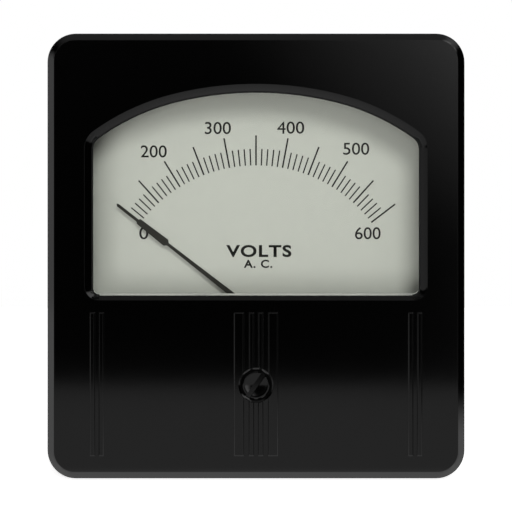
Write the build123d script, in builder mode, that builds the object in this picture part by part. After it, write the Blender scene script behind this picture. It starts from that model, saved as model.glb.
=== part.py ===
"""Flush-mounting analog panel meter with an arched window and a moving-iron movement.

Sizes are millimetres. X runs to the viewer's right, Z up and Y into the panel, with Y = 0 on
the panel's surface, so the face looks along -Y. A depth is a Y value.
"""

import os
from math import asin, cos, degrees, radians, sin, sqrt

from build123d import *

os.makedirs("parts", exist_ok=True)

# Front cover
case_width = 95.25
case_height = 101.6
case_corner_r = 6.5
edge_chamfer = 1.75
wall = 3.0
face_thickness = 3.0
cover_boss_r = 3.2
cover_boss_web = 3.0
snug = 0.02

# Window opening, measured at the face
side_margin = 8.675
top_margin = 11.75
crown_r = 77.6
crown_half_angle = 14.0
haunch_r = 52.9
shoulder_r = 5.0
sill_corner_r = 3.2
window_bevel = 1.45
sill_bevel = 0.9
window_relief = 1.0
sill_relief = 0.3
collar_depth = 3.6
collar_wall = 2.0

# Raised ribs on the lower face
rib_height = 0.4
rib_arris = 0.2
rib_narrow = 1.13
rib_wide = 2.27
rib_drop = 2.83
rib_foot_margin = 5.37
rib_side_inset = 1.25
rib_pair_gap = 0.91
rib_middle_gap = 0.96
rib_step_gap = 1.14

# Window pane, gasket and clips
gasket_thickness = 0.5
gasket_setback = 0.2
gasket_lap = 1.8
pane_thickness = 2.0
pane_lap = 1.6
pad_inset = 0.9
pad_sill_inset = 0.95
pad_proud = 0.6
pad_arris = 0.45
clip_boss_r = 2.2
clip_boss_gap = 0.4
clip_thickness = 0.5
clip_hold = 0.4
clip_sill_inset = 13.0
small_screw_r = 0.95
small_head_r = 1.7
small_head_height = 1.1
small_screw_length = 4.0

# Zero adjuster
adjuster_below_ribs = 0.22
countersink_r = 3.97
head_r = 3.34
head_face_r = 2.83
head_setback = 0.1
groove_depth = 0.65
head_depth = 2.6
dish_depth = 0.3
slot_width = 1.15
slot_depth = 1.0
slot_angle = 35.0
shank_r = 2.0
adjuster_boss_r = 5.0
adjuster_boss_length = 6.4
running_gap = 0.06
washer_thickness = 0.2
adjuster_clip_thickness = 0.5
adjuster_clip_r = 3.4
clip_groove_r = 1.5
crank_throw = 1.4
crank_pin_r = 0.75
crank_pin_past = 0.6
shank_clear = 0.6

# Movement, from the pane back to the dial
pivot_below_middle = 13.67
sill_above_pivot = 3.67
scale_half_angle = 52.0
overswing_angle = 3.0
pane_to_nut = 4.2
jewel_nut_r = 2.3
jewel_nut_thickness = 1.0
jewel_screw_r = 1.25
jewel_screw_past = 0.8
jewel_cup_r = 0.7
jewel_cup_depth = 0.6
pivot_play = 0.15
pivot_tip_r = 0.12
pivot_taper = 1.2
arm_play = 0.3
arm_thickness = 0.6
arm_to_bridge = 0.2
bush_r = 1.6
bridge_thickness = 1.2
bridge_nose_r = 2.8
bridge_leg_r = 3.0
bridge_leg_x = 13.0
bridge_leg_drop = 6.83
bridge_to_collet = 1.1
jewel_below_bridge = 0.5
collet_length = 1.0
collet_r = 1.5
hub_boss_length = 0.7
hub_boss_r = 1.2
hub_flange_r = 1.8
hub_flange_length = 0.6
blade_thickness = 0.5
pointer_over_dial = 2.3
dial_thickness = 0.8
dial_to_flange = 1.0

# Pointer and moving system
staff_r = 0.8
pointer_headroom = 10.65
tip_half_width = 0.36
tip_length = 6.15
spade_length = 9.1
spade_tip_half_width = 0.72
spade_root_half_width = 0.92
spade_shoulder = 0.8
rod_end_half_width = 0.36
rod_root_half_width = 0.66
tail_half_width = 0.55
tail_length = 10.6
balance_r = 2.0
balance_thickness = 1.4
balance_reach = 8.6
stop_reach = 5.2
stop_r = 0.5
stop_gap = 0.05
stop_past_blade = 0.8
spring_turns = 3.5
spring_pitch = 0.6
spring_strip = 0.2
spring_height = 0.6
spring_start_r = 1.7
spring_foot = 0.3
tab_thickness = 0.6
tab_width = 1.2
tab_angle = 45.0

# Zero arm
arm_ring_r = 3.2
arm_width = 3.2
fork_width = 4.8
fork_side_gap = 0.25
fork_root_gap = 0.6
fork_past_pin = 1.2

# Dial plate and movement frame
dial_border = 3.6
dial_below_pivot = 4.5
dial_corner_r = 2.0
dial_notch_r = 3.6
dial_post_r = 2.6
dial_post_inset = 4.7
dial_post_rise = 3.67
plate_setback = 1.0
plate_thickness = 2.0
plate_lug_r = 3.4
bridge_pillar_r = 2.0
bridge_pillar_spigot_r = 1.2

# Coil, irons and damping
coil_length = 18.0
cheek_r = 13.0
cheek_thickness = 1.2
core_bore_r = 6.0
core_wall = 1.0
spigot_wall = 0.65
winding_sink = 1.0
iron_thickness = 0.6
fixed_iron_angle = 96.0
iron_end_gap = 2.0
moving_iron_r = 4.5
moving_iron_thickness = 0.5
moving_iron_angle = 60.0
moving_iron_end_gap = 3.0
iron_web = 0.6
iron_hub_r = 1.5
chamber_r = 13.0
chamber_wall = 0.8
chamber_height = 8.4
chamber_margin_angle = 8.0
chamber_mouth_r = 2.6
vane_side_gap = 0.6
vane_tip_gap = 0.6
vane_thickness = 0.3
vane_hub_r = 1.6
rear_bridge_gap = 2.0
rear_bridge_thickness = 1.5
rear_bridge_width = 6.0
rear_pillar_to_cheek = 0.7
rear_pillar_r = 1.8

# Base
fit_gap = 0.15
flange_thickness = 3.5
barrel_inset = 3.325
barrel_wall = 3.3
barrel_seat_gap = 0.2
base_depth = 50.0
back_thickness = 4.0
back_edge_r = 2.0
frame_post_inset = 4.2
frame_post_r = 3.0
frame_post_spigot_r = 1.5
frame_post_bite = 2.5
upper_post_angle = 35.0
lower_post_angle = -50.0
case_screw_side = 21.6
case_screw_inset = 7.3
case_screw_r = 1.45
case_screw_clear = 0.2
case_screw_head_r = 2.8
case_screw_head_height = 1.5
case_screw_sink = 1.7
case_screw_bite = 9.0
stud_inset = 9.525
stud_r = 2.4
stud_collar_r = 3.0
stud_neck_r = 2.0
stud_neck_length = 0.5
stud_head_r = 4.0
stud_head_height = 1.4
stud_length = 24.0

# Terminals
terminal_spacing = 38.1
terminal_rise = 2.0
terminal_r = 2.4
terminal_head_r = 4.6
terminal_head_height = 3.0
tag_thickness = 0.5
tag_r = 4.4
tag_tail_width = 3.0
tag_tail_length = 9.0
pad_r = 7.5
pad_height = 1.5
terminal_washer_r = 5.2
terminal_washer_thickness = 1.0
terminal_nut_r = 4.6
terminal_nut_height = 3.6
terminal_tail = 10.0
terminal_tail_r = 2.2

# Series resistor and leads
spool_to_bore = 4.0
spool_r = 9.0
spool_core_r = 3.4
spool_flange = 1.2
spool_sections = 4
spool_section_length = 4.3
spool_winding_r = 8.0
spool_screw_r = 1.6
spool_screw_head_r = 3.0
spool_screw_head_height = 1.8
spool_screw_bite = 2.5
lead_r = 0.7
lead_angle = 40.0
lead_ease = 6.0
lead_bend = 2.0

# Derived outlines and places
inner_width = case_width - 2 * wall
inner_height = case_height - 2 * wall
window_width = case_width - 2 * side_margin
window_top = case_height / 2 - top_margin
pivot_z = -pivot_below_middle
window_sill = pivot_z + sill_above_pivot
rib_top = window_sill - rib_drop
rib_foot = rib_foot_margin - case_height / 2
rib_z = (rib_top + rib_foot) / 2
rib_length = rib_top - rib_foot
adjuster_z = rib_z - adjuster_below_ribs
barrel_r = min(case_width, case_height) / 2 - wall - barrel_inset
bore_r = barrel_r - barrel_wall
winding_r = cheek_r - winding_sink
chamber_outer_r = chamber_r + chamber_wall
rear_pillar_x = cheek_r + rear_pillar_to_cheek + rear_pillar_r
spool_z = bore_r - spool_to_bore - spool_r

# Derived depths, from the face back to the panel's surface
collar_to_bridge = (
    gasket_thickness + pane_thickness + pane_to_nut + jewel_nut_thickness + arm_play + arm_thickness
    + arm_to_bridge
)
bridge_to_blade_back = bridge_thickness + bridge_to_collet + collet_length + hub_boss_length
blade_back_to_panel = pointer_over_dial + dial_thickness + dial_to_flange + flange_thickness
cover_depth = collar_depth + collar_to_bridge + bridge_to_blade_back + blade_back_to_panel
front_y = -cover_depth
face_back_y = front_y + face_thickness
lip_y = front_y + window_bevel
collar_back_y = front_y + collar_depth
pane_front_y = collar_back_y + gasket_thickness
pane_back_y = pane_front_y + pane_thickness
nut_front_y = pane_back_y + pane_to_nut
bush_front_y = nut_front_y + jewel_nut_thickness
arm_front_y = bush_front_y + arm_play
arm_back_y = arm_front_y + arm_thickness
bridge_front_y = arm_back_y + arm_to_bridge
bridge_back_y = bridge_front_y + bridge_thickness
collet_front_y = bridge_back_y + bridge_to_collet
collet_back_y = collet_front_y + collet_length
blade_back_y = collet_back_y + hub_boss_length
dial_front_y = blade_back_y + pointer_over_dial
dial_back_y = dial_front_y + dial_thickness
flange_front_y = -flange_thickness

# Derived depths behind the panel's surface
plate_front_y = plate_setback
plate_back_y = plate_front_y + plate_thickness
coil_back_y = plate_back_y + coil_length
chamber_back_y = coil_back_y + chamber_wall + chamber_height - 2 * chamber_wall
lid_back_y = chamber_back_y + chamber_wall
rear_bridge_front_y = lid_back_y + rear_bridge_gap
rear_bridge_back_y = rear_bridge_front_y + rear_bridge_thickness
back_inside_y = base_depth - back_thickness
front_jewel_back_y = bridge_back_y + jewel_below_bridge
rear_jewel_front_y = rear_bridge_front_y - jewel_below_bridge
staff_front_y = front_jewel_back_y - jewel_cup_depth + pivot_play
staff_back_y = rear_jewel_front_y + jewel_cup_depth - pivot_play
pad_back_y = base_depth + pad_height
spool_length = spool_sections * spool_section_length + (spool_sections + 1) * spool_flange
spool_front_y = back_inside_y - spool_length

# Derived patterns of places, as (x, z)
haunch_x = (crown_r - haunch_r) * sin(radians(crown_half_angle))
haunch_z = window_top - crown_r + (crown_r - haunch_r) * cos(radians(crown_half_angle))
clip_offset = collar_wall + clip_boss_gap + clip_boss_r
haunch_bend = sin(radians(crown_half_angle))
haunch_end_angle = degrees(asin(haunch_bend + (window_width / 2 - crown_r * haunch_bend) / haunch_r))
clip_haunch_angle = (crown_half_angle + haunch_end_angle) / 2
clip_turn = radians(clip_haunch_angle)
clip_top_x = haunch_x + (haunch_r + clip_offset) * sin(clip_turn)
clip_top_z = haunch_z + (haunch_r + clip_offset) * cos(clip_turn)
clip_sill_x = window_width / 2 - clip_sill_inset
clip_sill_z = window_sill - clip_offset
clip_places = [
    (clip_top_x, clip_top_z, -clip_haunch_angle),
    (-clip_top_x, clip_top_z, clip_haunch_angle),
    (clip_sill_x, clip_sill_z, 0),
    (-clip_sill_x, clip_sill_z, 0),
]
case_screw_x = case_width / 2 - case_screw_side
case_screw_z = case_height / 2 - case_screw_inset
case_screw_places = [(x, z) for x in (-case_screw_x, case_screw_x) for z in (-case_screw_z, case_screw_z)]
stud_x = case_width / 2 - stud_inset
stud_z = case_height / 2 - stud_inset
stud_places = [(x, z) for x in (-stud_x, stud_x) for z in (-stud_z, stud_z)]
frame_post_reach = bore_r - frame_post_inset
frame_post_places = [
    (side * frame_post_reach * cos(radians(angle)), frame_post_reach * sin(radians(angle)))
    for side in (-1, 1)
    for angle in (lower_post_angle, upper_post_angle)
]
dial_bottom = pivot_z - dial_below_pivot
dial_post_z = dial_bottom + dial_post_rise
dial_post_x = sqrt((bore_r - dial_post_inset) ** 2 - dial_post_z**2)
dial_post_places = [(-dial_post_x, dial_post_z), (dial_post_x, dial_post_z)]
bridge_leg_z = pivot_z - bridge_leg_drop
bridge_leg_places = [(-bridge_leg_x, bridge_leg_z), (bridge_leg_x, bridge_leg_z)]
rear_pillar_places = [(-rear_pillar_x, pivot_z), (rear_pillar_x, pivot_z)]
terminal_places = [(-terminal_spacing / 2, terminal_rise), (terminal_spacing / 2, terminal_rise)]


def facing(depth):
    """Sketch plane at a depth, seen from the front: its x is X and its y is Z."""
    return Plane.XZ.offset(-depth)


def about_staff(depth):
    """Sketch plane at a depth, centred on the staff: its x is X and its y is Z."""
    return Plane(origin=(0, depth, pivot_z), x_dir=(1, 0, 0), z_dir=(0, -1, 0))


def swung(depth):
    """Sketch plane at a depth, centred on the staff, with its y along the pointer at zero."""
    turn = radians(scale_half_angle)
    return Plane(origin=(0, depth, pivot_z), x_dir=(cos(turn), 0, sin(turn)), z_dir=(0, -1, 0))


def turned(profile, x, z):
    """Solid turned about the fore-and-aft line at (x, z) from (radius, depth) points."""
    with BuildPart() as piece:
        with BuildSketch(Plane(origin=(x, 0, z))):
            with BuildLine():
                Polyline(*profile, close=True)
            make_face()
        revolve(axis=Axis((x, 0, z), (0, 1, 0)))
    return piece.part


def screw(x, z, head_front, head_height, head_radius, shank_radius, tip):
    """Screw driven from the front, with its head's front and its tip at the given depths."""
    under = head_front + head_height
    profile = [(0, head_front), (head_radius, head_front), (head_radius, under)]
    profile += [(shank_radius, under), (shank_radius, tip), (0, tip)]
    return turned(profile, x, z)


def tube(inner_radius, outer_radius, front, back, x, z):
    """Round tube between two depths."""
    profile = [(inner_radius, front), (outer_radius, front), (outer_radius, back), (inner_radius, back)]
    return turned(profile, x, z)


def window_outline(grow, sill_grow):
    """Arched outline of the window opening, grown by a distance, and by another one at the sill."""
    half = window_width / 2 + grow
    crown = crown_r + grow
    haunch = haunch_r + grow
    sill = window_sill - sill_grow
    bend = sin(radians(crown_half_angle))
    spring_angle = degrees(asin(bend + (half - crown * bend) / haunch))
    haunch_sweep = spring_angle - crown_half_angle
    with BuildSketch() as outline:
        with BuildLine():
            CenterArc((0, window_top - crown_r), crown, 90 - crown_half_angle, 2 * crown_half_angle)
            right = CenterArc((haunch_x, haunch_z), haunch, 90 - spring_angle, haunch_sweep)
            left = CenterArc((-haunch_x, haunch_z), haunch, 90 + crown_half_angle, haunch_sweep)
            Polyline(right @ 0, (half, sill), (-half, sill), left @ 1)
        make_face()
        fillet(outline.vertices().group_by(Axis.Y)[1], shoulder_r + grow)
        fillet(outline.vertices().group_by(Axis.Y)[0], sill_corner_r + grow)
    return outline.sketch


def sector(inner_radius, outer_radius, middle_angle, span):
    """Ring sector about the origin, its middle at an angle from the x axis, in degrees."""
    start = middle_angle - span / 2
    with BuildSketch() as shape:
        with BuildLine():
            outer = CenterArc((0, 0), outer_radius, start, span)
            inner = CenterArc((0, 0), inner_radius, start, span)
            Line(outer @ 0, inner @ 0)
            Line(outer @ 1, inner @ 1)
        make_face()
    return shape.sketch


# Front cover: moulded box with a chamfered face, the bevelled window, ribs and screw bosses
rib_side = window_width / 2 - rib_side_inset - rib_narrow / 2
rib_inner = rib_side - rib_narrow - rib_pair_gap
rib_middle = rib_middle_gap / 2 + rib_narrow / 2
rib_broad = rib_middle_gap / 2 + rib_narrow + rib_step_gap + rib_wide / 2
rib_front_y = front_y - rib_height
bore_mouth_y = front_y + groove_depth
bore_seat_y = front_y + head_setback + head_depth + running_gap
boss_end_y = face_back_y + adjuster_boss_length
head_bore_r = head_r + running_gap
web_rise = (inner_height + wall) / 2 - case_screw_z
shank_bore_r = shank_r + running_gap

with BuildPart() as front_cover:
    with BuildSketch(facing(0)):
        RectangleRounded(case_width, case_height, case_corner_r)
    extrude(amount=cover_depth)
    chamfer(front_cover.faces().sort_by(Axis.Y)[0].edges(), edge_chamfer)
    with BuildSketch(facing(0)):
        RectangleRounded(inner_width, inner_height, case_corner_r - wall)
    extrude(amount=cover_depth - face_thickness, mode=Mode.SUBTRACT)
    with BuildSketch(facing(collar_back_y)):
        add(window_outline(collar_wall, collar_wall))
    extrude(amount=collar_depth - face_thickness)
    with BuildSketch(facing(front_y)):
        add(window_outline(0, 0))
    with BuildSketch(facing(lip_y)):
        add(window_outline(-window_bevel, -sill_bevel))
    loft(mode=Mode.SUBTRACT)
    with BuildSketch(facing(lip_y)):
        add(window_outline(-window_bevel, -sill_bevel))
    with BuildSketch(facing(collar_back_y)):
        add(window_outline(window_relief - window_bevel, sill_relief - sill_bevel))
    loft(mode=Mode.SUBTRACT)
    with BuildSketch(facing(flange_front_y)):
        with Locations(*case_screw_places):
            Circle(cover_boss_r)
        for side in (-1, 1):
            web_z = side * (case_screw_z + web_rise / 2)
            with Locations((-case_screw_x, web_z), (case_screw_x, web_z)):
                Rectangle(cover_boss_web, web_rise)
    extrude(amount=flange_front_y - face_back_y)
    with BuildSketch(facing(flange_front_y)):
        with Locations(*case_screw_places):
            Circle(case_screw_r + snug)
    extrude(amount=case_screw_bite + case_screw_clear, mode=Mode.SUBTRACT)
    with BuildSketch(facing(pane_back_y)):
        with Locations(*[(x, z) for x, z, turn in clip_places]):
            Circle(clip_boss_r)
    extrude(amount=pane_back_y - face_back_y)
    with BuildSketch(facing(pane_back_y)):
        with Locations(*[(x, z) for x, z, turn in clip_places]):
            Circle(small_screw_r + snug)
    extrude(amount=small_screw_length, mode=Mode.SUBTRACT)
    with BuildSketch(facing(front_y)):
        with Locations((-rib_side, rib_z), (-rib_inner, rib_z), (rib_inner, rib_z), (rib_side, rib_z)):
            Rectangle(rib_narrow, rib_length)
        with Locations((-rib_middle, rib_z), (rib_middle, rib_z)):
            Rectangle(rib_narrow, rib_length)
        with Locations((-rib_broad, rib_z), (rib_broad, rib_z)):
            Rectangle(rib_wide, rib_length)
    extrude(amount=rib_height)
    chamfer(front_cover.faces().group_by(Axis.Y)[0].edges(), rib_arris)
    add(tube(shank_bore_r, adjuster_boss_r, face_back_y, boss_end_y, 0, adjuster_z))
    head_bore = [(0, rib_front_y), (countersink_r, rib_front_y), (countersink_r, front_y)]
    head_bore += [(head_bore_r, bore_mouth_y)]
    head_bore += [(head_bore_r, bore_seat_y), (shank_bore_r, bore_seat_y), (shank_bore_r, boss_end_y)]
    add(turned(head_bore + [(0, boss_end_y)], 0, adjuster_z), mode=Mode.SUBTRACT)
front_cover.part.label = "front_cover"
export_step(front_cover.part, "parts/front_cover.step")

# Window gasket: thin ring between the collar and the pane
with BuildPart() as window_gasket:
    with BuildSketch(facing(pane_front_y)):
        add(window_outline(gasket_lap, gasket_lap))
        gasket_inset = window_bevel - window_relief - gasket_setback
        gasket_sill_inset = sill_bevel - sill_relief - gasket_setback
        add(window_outline(-gasket_inset, -gasket_sill_inset), mode=Mode.SUBTRACT)
    extrude(amount=gasket_thickness)
window_gasket.part.label = "window_gasket"
export_step(window_gasket.part, "parts/window_gasket.step")

# Window pane: clear plate with a raised pad that fills the opening, its front arris bevelled
with BuildPart() as window_pane:
    with BuildSketch(facing(pane_back_y)):
        add(window_outline(pane_lap, pane_lap))
    extrude(amount=pane_thickness)
    with BuildSketch(facing(pane_front_y)):
        add(window_outline(-pad_inset, -pad_sill_inset))
    extrude(amount=gasket_thickness + pad_proud)
    chamfer(window_pane.faces().sort_by(Axis.Y)[0].edges(), pad_arris)
window_pane.part.label = "window_pane"
export_step(window_pane.part, "parts/window_pane.step")

# Window clips: flat tongues on the bosses that press on the pane's border
clip_run = clip_offset - clip_hold - clip_boss_r
with BuildPart() as window_clips:
    for clip_x, clip_z, clip_lean in clip_places:
        inward = -1 if clip_z > window_sill else 1
        lean = radians(clip_lean)
        middle_x = clip_x - inward * clip_run / 2 * sin(lean)
        middle_z = clip_z + inward * clip_run / 2 * cos(lean)
        with BuildSketch(facing(pane_back_y + clip_thickness)):
            with Locations(Location((middle_x, middle_z, 0), (0, 0, clip_lean + 90))):
                SlotCenterToCenter(clip_run, 2 * clip_boss_r)
            with Locations((clip_x, clip_z)):
                Circle(small_screw_r + snug, mode=Mode.SUBTRACT)
        extrude(amount=clip_thickness)
window_clips.part.label = "window_clips"
export_step(window_clips.part, "parts/window_clips.step")

with BuildPart() as window_clip_screws:
    for clip_x, clip_z, clip_lean in clip_places:
        head_back = pane_back_y + clip_thickness
        shape = [(0, head_back + small_head_height), (small_head_r, head_back + small_head_height)]
        shape += [(small_head_r, head_back), (small_screw_r, head_back)]
        shape += [(small_screw_r, pane_back_y - small_screw_length + snug)]
        shape += [(0, pane_back_y - small_screw_length + snug)]
        add(turned(shape, clip_x, clip_z))
window_clip_screws.part.label = "window_clip_screws"
export_step(window_clip_screws.part, "parts/window_clip_screws.step")

# Zero adjuster: dished, slotted head on a shank with a crank pin, held by a washer and a clip
head_front_y = front_y + head_setback
shank_end_y = arm_front_y - shank_clear
clip_front_y = boss_end_y + running_gap + washer_thickness
clip_back_y = clip_front_y + adjuster_clip_thickness
slot_turn = radians(slot_angle)
with BuildPart() as zero_adjuster:
    head = [(0, head_front_y + dish_depth), (head_face_r, head_front_y), (head_r, bore_mouth_y)]
    head += [(head_r, head_front_y + head_depth), (shank_r, head_front_y + head_depth)]
    head += [(shank_r, clip_front_y), (clip_groove_r, clip_front_y), (clip_groove_r, clip_back_y)]
    head += [(shank_r, clip_back_y), (shank_r, shank_end_y), (0, shank_end_y)]
    add(turned(head, 0, adjuster_z))
    slot_plane = Plane(
        origin=(0, head_front_y, adjuster_z),
        x_dir=(cos(slot_turn), 0, -sin(slot_turn)),
        z_dir=(0, -1, 0),
    )
    with BuildSketch(slot_plane):
        Rectangle(slot_width, 2 * head_r)
    extrude(amount=-slot_depth, mode=Mode.SUBTRACT)
    with BuildSketch(facing(arm_back_y + crank_pin_past)):
        with Locations((0, adjuster_z - crank_throw)):
            Circle(crank_pin_r)
    extrude(amount=arm_back_y + crank_pin_past - shank_end_y)
zero_adjuster.part.label = "zero_adjuster"
export_step(zero_adjuster.part, "parts/zero_adjuster.step")

with BuildPart() as adjuster_washer:
    add(tube(shank_r, adjuster_clip_r, boss_end_y + running_gap, clip_front_y, 0, adjuster_z))
adjuster_washer.part.label = "adjuster_washer"
export_step(adjuster_washer.part, "parts/adjuster_washer.step")

with BuildPart() as adjuster_clip:
    with BuildSketch(facing(clip_back_y)):
        with Locations((0, adjuster_z)):
            Circle(adjuster_clip_r)
            Circle(clip_groove_r, mode=Mode.SUBTRACT)
        with Locations((0, adjuster_z + adjuster_clip_r)):
            Rectangle(2 * clip_groove_r * cos(slot_turn), 2 * adjuster_clip_r, mode=Mode.SUBTRACT)
    extrude(amount=adjuster_clip_thickness)
adjuster_clip.part.label = "adjuster_clip"
export_step(adjuster_clip.part, "parts/adjuster_clip.step")

# Zero arm: ring on the bridge's bush, a forked tail round the crank pin and a tab for the spring
crank_reach = pivot_z - adjuster_z + crank_throw
fork_end = crank_reach + crank_pin_r + fork_past_pin
fork_root = crank_reach - crank_throw - crank_pin_r - fork_root_gap
fork_slot = 2 * (crank_pin_r + fork_side_gap)
spring_steps = round(2 * spring_turns)
spring_end_r = spring_start_r + (spring_steps - 1) * spring_pitch / 2
tab_inner_r = spring_end_r + spring_strip / 2
tab_outer_r = tab_inner_r + tab_thickness
spring_middle_y = (collet_front_y + collet_back_y) / 2
spring_back_y = spring_middle_y + spring_height / 2
tab_turn = radians(tab_angle)
tab_middle = (tab_inner_r + tab_outer_r) / 2
tab_x = tab_middle * cos(tab_turn)
tab_z = tab_middle * sin(tab_turn)
with BuildPart() as zero_arm:
    with BuildSketch(facing(arm_back_y)):
        with Locations((0, pivot_z)):
            Circle(arm_ring_r)
        with Locations((0, pivot_z - fork_root / 2)):
            Rectangle(arm_width, fork_root)
        with Locations((0, pivot_z - (fork_root + fork_end) / 2)):
            Rectangle(fork_width, fork_end - fork_root + arm_width)
        with Locations((0, pivot_z - (fork_root + fork_end + fork_slot) / 2)):
            Rectangle(fork_slot, fork_end - fork_root + fork_slot, mode=Mode.SUBTRACT)
        with Locations(Location((tab_x / 2, pivot_z + tab_z / 2, 0), (0, 0, tab_angle))):
            Rectangle(tab_middle + tab_thickness, tab_width)
        with Locations((0, pivot_z)):
            Circle(bush_r + running_gap, mode=Mode.SUBTRACT)
    extrude(amount=arm_thickness)
    with BuildSketch(facing(spring_back_y)):
        with Locations(Location((tab_x, pivot_z + tab_z, 0), (0, 0, tab_angle))):
            Rectangle(tab_thickness, tab_width)
    extrude(amount=spring_back_y - arm_back_y)
zero_arm.part.label = "zero_arm"
export_step(zero_arm.part, "parts/zero_arm.step")

# Front bridge: brass plate that carries the front jewel and the pointer stops
stop_offset = tail_half_width + stop_r + stop_gap
stop_angle = radians(scale_half_angle + overswing_angle) + asin(stop_offset / stop_reach)
stop_x = stop_reach * sin(stop_angle)
stop_z = pivot_z - stop_reach * cos(stop_angle)
with BuildPart() as front_bridge:
    with BuildSketch(facing(bridge_back_y)):
        with Locations((0, pivot_z)):
            Circle(bridge_nose_r)
        with Locations(*bridge_leg_places):
            Circle(bridge_leg_r)
        make_hull()
        with Locations((0, pivot_z)):
            Circle(jewel_screw_r, mode=Mode.SUBTRACT)
        with Locations(*bridge_leg_places):
            Circle(small_screw_r + snug, mode=Mode.SUBTRACT)
    extrude(amount=bridge_thickness)
    add(tube(jewel_screw_r, bush_r, bush_front_y, bridge_front_y, 0, pivot_z))
front_bridge.part.label = "front_bridge"
export_step(front_bridge.part, "parts/front_bridge.step")

with BuildPart() as pointer_stops:
    for side in (-1, 1):
        add(tube(0, stop_r, bridge_back_y, blade_back_y + stop_past_blade, side * stop_x, stop_z))
pointer_stops.part.label = "pointer_stops"
export_step(pointer_stops.part, "parts/pointer_stops.step")

with BuildPart() as bridge_pillars:
    for leg_x, leg_z in bridge_leg_places:
        hole_end = bridge_back_y + small_screw_length
        post = [(0, hole_end), (small_screw_r, hole_end)]
        post += [(small_screw_r, bridge_back_y), (bridge_pillar_r, bridge_back_y)]
        post += [(bridge_pillar_r, plate_front_y), (bridge_pillar_spigot_r, plate_front_y)]
        post += [(bridge_pillar_spigot_r, plate_back_y), (0, plate_back_y)]
        add(turned(post, leg_x, leg_z))
bridge_pillars.part.label = "bridge_pillars"
export_step(bridge_pillars.part, "parts/bridge_pillars.step")

with BuildPart() as bridge_screws:
    for leg_x, leg_z in bridge_leg_places:
        head_top = bridge_front_y - small_head_height
        tip = bridge_back_y + small_screw_length - snug
        add(screw(leg_x, leg_z, head_top, small_head_height, small_head_r, small_screw_r, tip))
bridge_screws.part.label = "bridge_screws"
export_step(bridge_screws.part, "parts/bridge_screws.step")

# Jewel screws and their lock nuts: cupped ends that carry the staff's pivots
with BuildPart() as front_jewel_screw:
    cup = [(0, nut_front_y - jewel_screw_past), (jewel_screw_r, nut_front_y - jewel_screw_past)]
    cup += [(jewel_screw_r, front_jewel_back_y), (jewel_cup_r, front_jewel_back_y)]
    add(turned(cup + [(0, front_jewel_back_y - jewel_cup_depth)], 0, pivot_z))
front_jewel_screw.part.label = "front_jewel_screw"
export_step(front_jewel_screw.part, "parts/front_jewel_screw.step")

with BuildPart() as front_jewel_nut:
    with BuildSketch(facing(bush_front_y)):
        with Locations((0, pivot_z)):
            RegularPolygon(jewel_nut_r, 6)
            Circle(jewel_screw_r, mode=Mode.SUBTRACT)
    extrude(amount=jewel_nut_thickness)
front_jewel_nut.part.label = "front_jewel_nut"
export_step(front_jewel_nut.part, "parts/front_jewel_nut.step")

rear_nut_back_y = rear_bridge_back_y + jewel_nut_thickness
with BuildPart() as rear_jewel_screw:
    cup = [(0, rear_jewel_front_y + jewel_cup_depth), (jewel_cup_r, rear_jewel_front_y)]
    cup += [(jewel_screw_r, rear_jewel_front_y), (jewel_screw_r, rear_nut_back_y + jewel_screw_past)]
    add(turned(cup + [(0, rear_nut_back_y + jewel_screw_past)], 0, pivot_z))
rear_jewel_screw.part.label = "rear_jewel_screw"
export_step(rear_jewel_screw.part, "parts/rear_jewel_screw.step")

with BuildPart() as rear_jewel_nut:
    with BuildSketch(facing(rear_nut_back_y)):
        with Locations((0, pivot_z)):
            RegularPolygon(jewel_nut_r, 6)
            Circle(jewel_screw_r, mode=Mode.SUBTRACT)
    extrude(amount=jewel_nut_thickness)
rear_jewel_nut.part.label = "rear_jewel_nut"
export_step(rear_jewel_nut.part, "parts/rear_jewel_nut.step")

# Staff: thin arbor with a conical pivot at each end
with BuildPart() as staff:
    arbor = [(0, staff_front_y), (pivot_tip_r, staff_front_y), (staff_r, staff_front_y + pivot_taper)]
    arbor += [(staff_r, staff_back_y - pivot_taper), (pivot_tip_r, staff_back_y), (0, staff_back_y)]
    add(turned(arbor, 0, pivot_z))
staff.part.label = "staff"
export_step(staff.part, "parts/staff.step")

# Hairspring: flat spiral of half circles from the collet out to the zero arm's tab
with BuildPart() as hairspring_collet:
    add(tube(staff_r, collet_r, collet_front_y, collet_back_y, 0, pivot_z))
hairspring_collet.part.label = "hairspring_collet"
export_step(hairspring_collet.part, "parts/hairspring_collet.step")

start_angle = tab_angle + 180 * spring_steps
grow_step = spring_pitch / 2
along = (cos(radians(start_angle)), sin(radians(start_angle)))
with BuildPart() as hairspring:
    with BuildSketch(facing(spring_back_y)):
        with BuildLine():
            edges_in = []
            edges_out = []
            for step in range(spring_steps):
                shift = grow_step * (step % 2)
                centre = (shift * along[0], pivot_z + shift * along[1])
                radius = spring_start_r + step * grow_step
                begin = start_angle + 180 * step
                edges_in.append(CenterArc(centre, radius - spring_strip / 2, begin, 180))
                edges_out.append(CenterArc(centre, radius + spring_strip / 2, begin, 180))
            Line(edges_in[0] @ 0, edges_out[0] @ 0)
            Line(edges_in[-1] @ 1, edges_out[-1] @ 1)
        make_face()
        foot_r = (collet_r + spring_start_r) / 2
        with Locations(
            Location((foot_r * along[0], pivot_z + foot_r * along[1], 0), (0, 0, start_angle))
        ):
            Rectangle(spring_start_r - collet_r, spring_foot)
        with Locations((0, pivot_z)):
            Circle(collet_r, mode=Mode.SUBTRACT)
    extrude(amount=spring_height)
hairspring.part.label = "hairspring"
export_step(hairspring.part, "parts/hairspring.step")

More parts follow.
